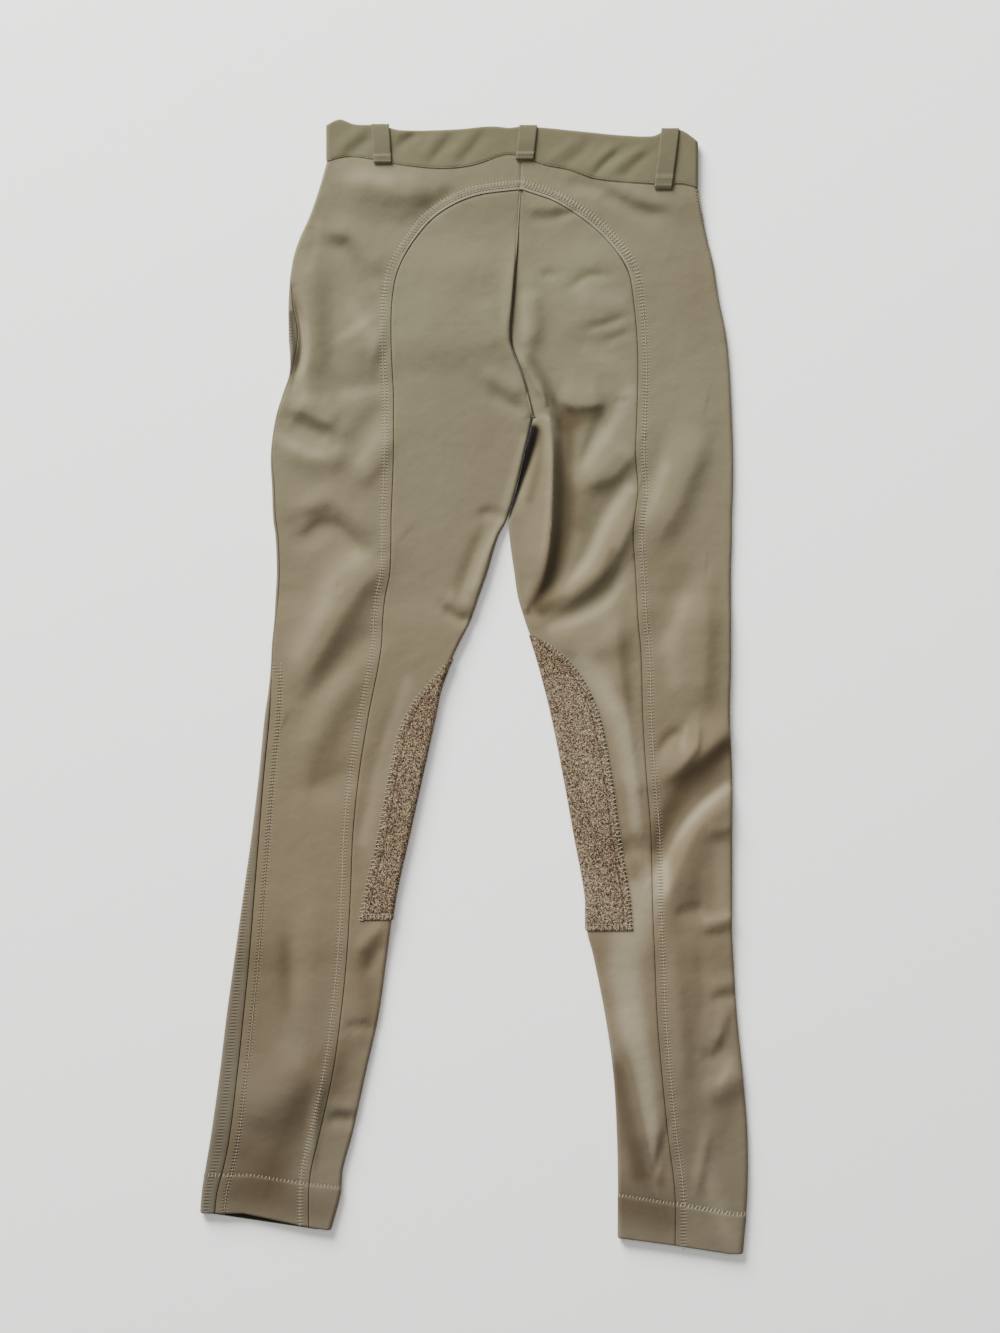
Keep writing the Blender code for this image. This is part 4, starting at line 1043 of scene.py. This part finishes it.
def cut_areas(leg):
    """Area of each of a leg's flat cuts, from its section sizes, before any crease."""
    turn = TURN * LOFT[2][1] / 2
    centre = lambda down: smooth(CENTRE_BACK, np.minimum(down, CROTCH_DOWN))
    seam = lambda down: leg.back_seam.at(leg.back_seam.run_at_down(down))[..., 0]
    edge = lambda down: leg.outward * leg.outer(down)
    reach = lambda down: smooth(leg.seam_keys, down)
    inner = lambda down: leg.outward * np.where(down < CROTCH_DOWN, centre(down), leg.inner(down))
    under = lambda down: np.where(down < CROTCH_DOWN, 0.0, turn - leg.inseam_reach(down))
    arch_top = leg.back_seam.points[0, 1]
    waist = float(smooth(WAIST_SEAM, (leg.outer_keys[0][1] + 40.0) / 2))
    ends = leg.with_seam(leg.hem["outer"][1], leg.hem["inner"][1])
    stitch = leg.with_seam(leg.hem["outer"][0], leg.hem["inner"][0])
    side_end, seat_end, depth = (ends[0] + ends[1]) / 2, (ends[1] + ends[2]) / 2, ends[1] - stitch[1]
    at_seam = lambda down: leg.outward * np.where(down < arch_top, centre(down), seam(down))
    patch_from, patch_to = leg.patch[0][0], leg.patch[-1][0]
    return {
        "side_panel": strip_area(waist, side_end, lambda down: edge(down) - at_seam(down) + turn - reach(down)),
        "seat_panel": strip_area(arch_top, seat_end, lambda down: at_seam(down) - inner(down) + under(down)),
        "front_panel": strip_area(waist, (side_end + seat_end) / 2, lambda down:
                                  edge(down) - inner(down) + turn + reach(down) - np.where(
                                      down < CROTCH_DOWN, 0.0, -turn - leg.inseam_reach(down))),
        "knee_patch": strip_area(patch_from, patch_to, lambda down:
                                 smooth(column(leg.patch, 0, 1), down) + smooth(column(leg.patch, 0, 2), down)),
        "hem_turnup": strip_area(0.0, depth, lambda down: 2 * (edge(side_end) - inner(seat_end)) + 0 * down)}


def finish_piece(piece, node, material, stitches=(), area=None):
    """Give a sewn piece its finish and put it in its solid's place; `area` is not used."""
    piece.data.materials.clear()
    piece.data.materials.append(material)
    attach(piece, "root")
    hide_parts(node)
    for stitch in stitches:
        stitch.data.materials.append(THREAD)
        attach(stitch, "root")


def arch_rows():
    return [1 - away / 27.0 for away in SEAM_COLUMNS + (16, 20, 23)] + [1 + 0.03, 1 + 0.07, 1 + 0.12]


def hem_rows(leg):
    near = [leg.stitch_row + step for step in (-0.12, -0.07, -0.035, 0.0, 0.05, 0.1, 0.17)]
    return near + [leg.last - step for step in (0.13, 0.095, 0.06, 0.035, 0.0175)]


for leg in LEGS:
    side, areas = leg.side, cut_areas(leg)
    side_t = fine_rows(0, leg.last, 9, arch_rows() + hem_rows(leg))
    grid = leg.side_grid(side_t)
    panel, points, normals = cloth_piece(f"side_{side}", grid, 1, slice(0, 30), CLOTH, side=side)
    runs = np.arange(1.0, leg.back_seam.runs[-1] - 2.0, 2.0)
    stitch_at = int(np.argmin(np.abs(side_t - leg.stitch_row)))
    side_column = points.shape[1] - len(SIDE_SEAM_COLUMNS) + SIDE_SEAM_COLUMNS.index(7.7)
    seam_from = int(np.argmin(np.abs(grid[1][:, side_column] - (455.0 if side == "left" else 62.0))))
    threads = [sew(f"back_seam_stitches_{side}", [
        (*row_on_side(leg, runs, SEAM_ROW), TOP_STITCH, 2.7, 0),
        (*row_on_side(leg, runs[runs < ARCH_RUN + 24], ARCH_INNER), TOP_STITCH, 2.7, 0)]),
        sew(f"side_seam_stitches_{side}", [
            (*nearest_row(points, normals, (slice(seam_from, None), side_column)), TOP_STITCH, 2.7, 0)]),
        sew(f"hem_stitches_side_{side}", [
            (*nearest_row(points, normals, stitch_at), LONG_HEM_STITCH if side == "right" else HEM_STITCH, 3.2, 72)])]
    finish_piece(panel, f"side_panel_{side}", SIDE_CLOTH,
                 threads, areas["side_panel"])

    seat_t = fine_rows(SHOULDER_ROW, leg.last, 10,
                       [SHOULDER_ROW + step for step in (0.014, 0.03, 0.05, 0.075)] + hem_rows(leg))
    *grid, mask = leg.seat_grid(seat_t)
    panel, points, normals = cloth_piece(f"seat_{side}", grid, 1, slice(4, 40), CLOTH, mask=mask, side=side)
    stitch_at = int(np.argmin(np.abs(seat_t - leg.stitch_row)))
    threads = [sew(f"hem_stitches_seat_{side}", [
        (*nearest_row(points, normals, stitch_at), HEM_STITCH, 2.9, 72)])]
    finish_piece(panel, f"seat_panel_{side}", SEAT_CLOTH, threads,
                 areas["seat_panel"])

    front_t = fine_rows(0, leg.last, 5, hem_rows(leg))
    grid = leg.front_grid(front_t)
    panel, points, normals = cloth_piece(f"front_{side}", grid, -1, slice(4, 30), CLOTH, side=side)
    stitch_at = int(np.argmin(np.abs(front_t - leg.stitch_row)))
    threads = [sew(f"hem_stitches_front_{side}", [
        (*nearest_row(points, normals, stitch_at), HEM_STITCH, 2.9, 72)])]
    finish_piece(panel, f"front_panel_{side}", FRONT_CLOTH, threads,
                 areas["front_panel"])

    # knee patch
    patch_t = fine_rows(leg.patch_rows[0], leg.patch_rows[1], 11)
    x, down, up, reaches, from_edge = leg.patch_grid(patch_t)
    relief = -0.6 * quarter_round(from_edge, 1.4) - 0.25 * np.exp(-((from_edge - 6.5) / 1.0) ** 2)
    zero = {"back_seam": (from_edge, down), "side_seam": (from_edge, down), "hem": (from_edge, x)}
    panel, points, normals = cloth_piece(f"patch_{side}", (x, down, up, relief, zero), 1, slice(0, 14),
                                         PATCH_CLOTH, PATCH_GAP + PATCH_CLOTH)
    inner = int(np.argmin(np.abs(patch_t - (leg.patch_rows[1] - 0.22))))
    last, width = len(patch_t) - 2, points.shape[1]
    threads = [sew(f"patch_stitches_{side}", [
        (*nearest_row(points, normals, (slice(2, None), 1)), BAR_STITCH, 3.4, 90),
        (*nearest_row(points, normals, (slice(2, None), width - 2)), BAR_STITCH, 3.4, 90),
        (*nearest_row(points, normals, last), BAR_STITCH, 3.4, 90),
        (*nearest_row(points, normals, inner), TOP_STITCH, 2.6, 0)])]
    finish_piece(panel, f"knee_patch_{side}", GRIP,
                 threads, areas["knee_patch"])

    # hem turn-up: a ring inside the leg's end
    ring_t = np.linspace(leg.stitch_row + 0.02, leg.last - 0.06, 12)
    ring_x, ring_down, ring_up = [], [], []
    for part, order in ((leg.side_grid(ring_t), slice(1, -1)), (leg.front_grid(ring_t), slice(-2, 0, -1)),
                        (leg.seat_grid(ring_t), slice(-2, 0, -1))):
        for kept, values in ((ring_x, part[0]), (ring_down, part[1]), (ring_up, part[2])):
            kept.append(values[:, order])
    x, down, up = (np.concatenate(kept, axis=1) for kept in (ring_x, ring_down, ring_up))
    away = np.full(x.shape, 40.0)
    fields = {"back_seam": (away, down), "side_seam": (away, down), "hem": (away, x)}
    ring, _, _ = cloth_piece(f"turnup_{side}", (x, down, up, away * 0, fields), 1, slice(0, 30), CLOTH,
                             -CLOTH - SEAM_GAP, closed=True)
    finish_piece(ring, f"hem_turnup_{side}", HEM_PAINTED_SHADE_FINISH,
                 area=areas["hem_turnup"])


def band_grid():
    """The waistband's columns, from the centre front round both edges and back to the centre front."""
    shares = np.concatenate([np.linspace(0, 0.93, 26), [0.955, 0.975, 0.99, 1.0]])
    x_parts, up_parts = [], []
    for leg in LEGS:
        edge, inward = leg.outer_keys[0][1], -leg.outward
        mid = mix(smooth(WAIST_SEAM, edge), smooth(WAIST_TOP, edge), 0.5)
        under_x = np.linspace(40 + leg.outward * SEAM_GAP / 2, edge + inward * 6.0, 40)
        over_x = np.linspace(edge + inward * 6.0, 40.0, 90)
        turn = np.linspace(-5.0, 5.0, 14)
        down = lambda x: mix(smooth(WAIST_SEAM, x)[None] - SEAM_GAP / 2, smooth(WAIST_TOP, x)[None],
                             shares[:, None])
        round_x, _, _ = edge_point(float(edge), inward, float(mid), turn, "band")
        low = under(under_x[None], down(under_x))
        at = down(round_x)
        _, _, round_up = edge_point(float(edge), inward, at, np.broadcast_to(turn, at.shape), "band")
        over = top(over_x[None], down(over_x), "band")
        parts_x = [under_x, round_x, over_x]
        parts_up = [low, round_up, over]
        if leg.side == "right":
            parts_x = [part[::-1] for part in parts_x[::-1]]
            parts_up = [part[:, ::-1] for part in parts_up[::-1]]
            parts_x[0], parts_up[0] = parts_x[0][1:], parts_up[0][:, 1:]
        x_parts += parts_x
        up_parts += parts_up
    x, up = np.concatenate(x_parts), np.concatenate(up_parts, axis=1)
    down = mix(smooth(WAIST_SEAM, x)[None] - SEAM_GAP / 2, smooth(WAIST_TOP, x)[None], shares[:, None])
    return np.broadcast_to(x, down.shape), down, up


x, down, up = band_grid()
from_top, from_seam = down - smooth(WAIST_TOP, x), smooth(WAIST_SEAM, x) - down
relief = -1.3 * quarter_round(from_top, 1.9) + 0.5 - 0.9 * np.exp(-(from_seam / 1.2) ** 2)
far = np.full(x.shape, 40.0)
band_fields = {"back_seam": (far, down), "side_seam": (far, down), "hem": (far, x)}
band, points, normals = cloth_piece("band", (x, down, up, relief, band_fields), 1, slice(60, 200), BAND_CLOTH)
threads = [sew("waist_stitches", [(*nearest_row(points, normals, 1), (1.7, 0.4, 0.35), 2.4, 0)])]
across = np.linspace(WAIST_SEAM[0][0], WAIST_SEAM[-1][0], 400)
band_depth = (smooth(WAIST_SEAM, across) - smooth(WAIST_TOP, across)).mean()
band_area = 2 * (across[-1] - across[0]) * band_depth * MM * MM
finish_piece(band, "waistband", BAND_FINISH, threads,
             band_area)


def back_loop(name, x_top, x_seam):
    """A loop: over the waistband's top edge, down its face, and its end folded under at the seam."""
    share = np.linspace(-0.10, 1.06, 48)
    middle = mix(x_top, x_seam, np.clip(share, 0, 1))
    from_down, to_down = smooth(WAIST_TOP, middle), smooth(WAIST_SEAM, middle)
    down = mix(from_down, to_down, share)
    stand = LOOP_ARCH * 0.45 * np.sin(math.pi * np.clip(share, 0, 1)) ** 0.7
    across = np.concatenate([[-0.5, -0.48, -0.44], np.linspace(-0.38, 0.38, 9), [0.44, 0.48, 0.5]])
    x = middle[:, None] + across[None, :] * LOOP_WIDTH
    at = np.maximum(down, from_down - 1.2)[:, None] + 0 * x
    up = top(x, np.maximum(at, 0), "band") + 0.5 + SEAM_GAP + LOOP_CLOTH + stand[:, None]
    wrap = np.clip(-share, 0, 1) / 0.10
    up = up - (2.2 * (1 - np.cos(wrap * math.pi / 2)))[:, None] * 1.4
    up = up - 0.6 * quarter_round((0.5 - np.abs(across))[None, :] * LOOP_WIDTH, 1.2)
    folded_end = ease((share - 0.80) / 0.03) * (1 - ease((share - 1.02) / 0.04))
    up = up + 0.7 * folded_end[:, None] - 0.5 * ease((share - 1.0) / 0.06)[:, None]
    zero = np.full(x.shape, 40.0)
    fields = {"back_seam": (zero, at), "side_seam": (zero, at), "hem": (zero, x)}
    loop, points, normals = cloth_piece(f"loop_{name}", (x, at, up, zero * 0, fields), 1, slice(2, -2), LOOP_CLOTH)
    rows = [int(np.argmin(np.abs(share - place))) for place in (0.86, 0.98)]
    tack = sew(f"loop_stitches_{name}", [(*nearest_row(points, normals, (row, slice(1, -1))), (1.5, 0.4, 0.4), 1.6, 80)
                                         for row in rows])
    finish_piece(loop, f"belt_loop_{name}", LOOP_FINISH, [tack])


def front_loop(name, x_middle):
    """A loop pressed flat between the waistband and the surface."""
    down = np.linspace(float(smooth(WAIST_SEAM, x_middle)) - 2.0, float(smooth(WAIST_TOP, x_middle)) + 2.0, 20)
    x = x_middle + np.linspace(-0.5, 0.5, 11)[None, :] * LOOP_WIDTH + 0 * down[:, None]
    at = down[:, None] + 0 * x
    up = 0.3 * quarter_round((7.5 - np.abs(x - x_middle)), 1.2)
    zero = np.full(x.shape, 40.0)
    fields = {"back_seam": (zero, at), "side_seam": (zero, at), "hem": (zero, x)}
    loop, points, normals = cloth_piece(f"loop_{name}", (x, at, up, zero * 0, fields), -1, slice(2, -2), LOOP_CLOTH)
    finish_piece(loop, f"belt_loop_{name}", LOOP_FINISH)


for loop in LOOPS:
    back_loop(*loop)
for loop in FRONT_LOOPS:
    front_loop(*loop)

# ---------------------------------------------------------------- floor, light, camera

bpy.ops.object.select_all(action="DESELECT")
bpy.ops.mesh.primitive_plane_add(size=8.0, location=(0, 0, cad_low.z - 0.0004))
floor = bpy.context.object
floor.name = "floor"
paper = Finish("pale_floor", 0.9)
paper.shader.inputs["Base Color"].default_value = (0.95, 0.95, 0.95, 1)
floor.data.materials.append(paper.material)


def area_light(name, place, aim, size, watts, colour=(1, 1, 1)):
    made = bpy.data.objects.new(name, bpy.data.lights.new(name, "AREA"))
    made.data.size, made.data.energy, made.data.color = size, watts, colour
    bpy.context.scene.collection.objects.link(made)
    made.location = place
    made.rotation_euler = (Vector(aim) - Vector(place)).to_track_quat("-Z", "Y").to_euler()


area_light("window", (-2.1, 4.0, 2.2), (0.0, 0.0, 0.0), 2.6, 960.0, (1.0, 0.985, 0.96))
area_light("ceiling", (0.0, 0.0, 3.6), (0, 0, 0), 3.0, 52.0)
world_light = bpy.data.worlds.new("room")
world_light.use_nodes = True
world_light.node_tree.nodes["Background"].inputs["Color"].default_value = (1, 0.97, 0.92, 1)
world_light.node_tree.nodes["Background"].inputs["Strength"].default_value = 0.22
bpy.context.scene.world = world_light

VIEW_HEIGHT, VIEW_LENGTH, SENSOR = 2.6, 1.1197, 36.0
middle = (cad_low + cad_high) / 2
camera = bpy.data.objects.new("camera", bpy.data.cameras.new("camera"))
camera.data.sensor_width = SENSOR
camera.data.lens = SENSOR * VIEW_HEIGHT / VIEW_LENGTH
camera.location = (middle.x + 0.0218, middle.y + 0.0178, VIEW_HEIGHT)
bpy.context.scene.collection.objects.link(camera)
bpy.context.scene.camera = camera
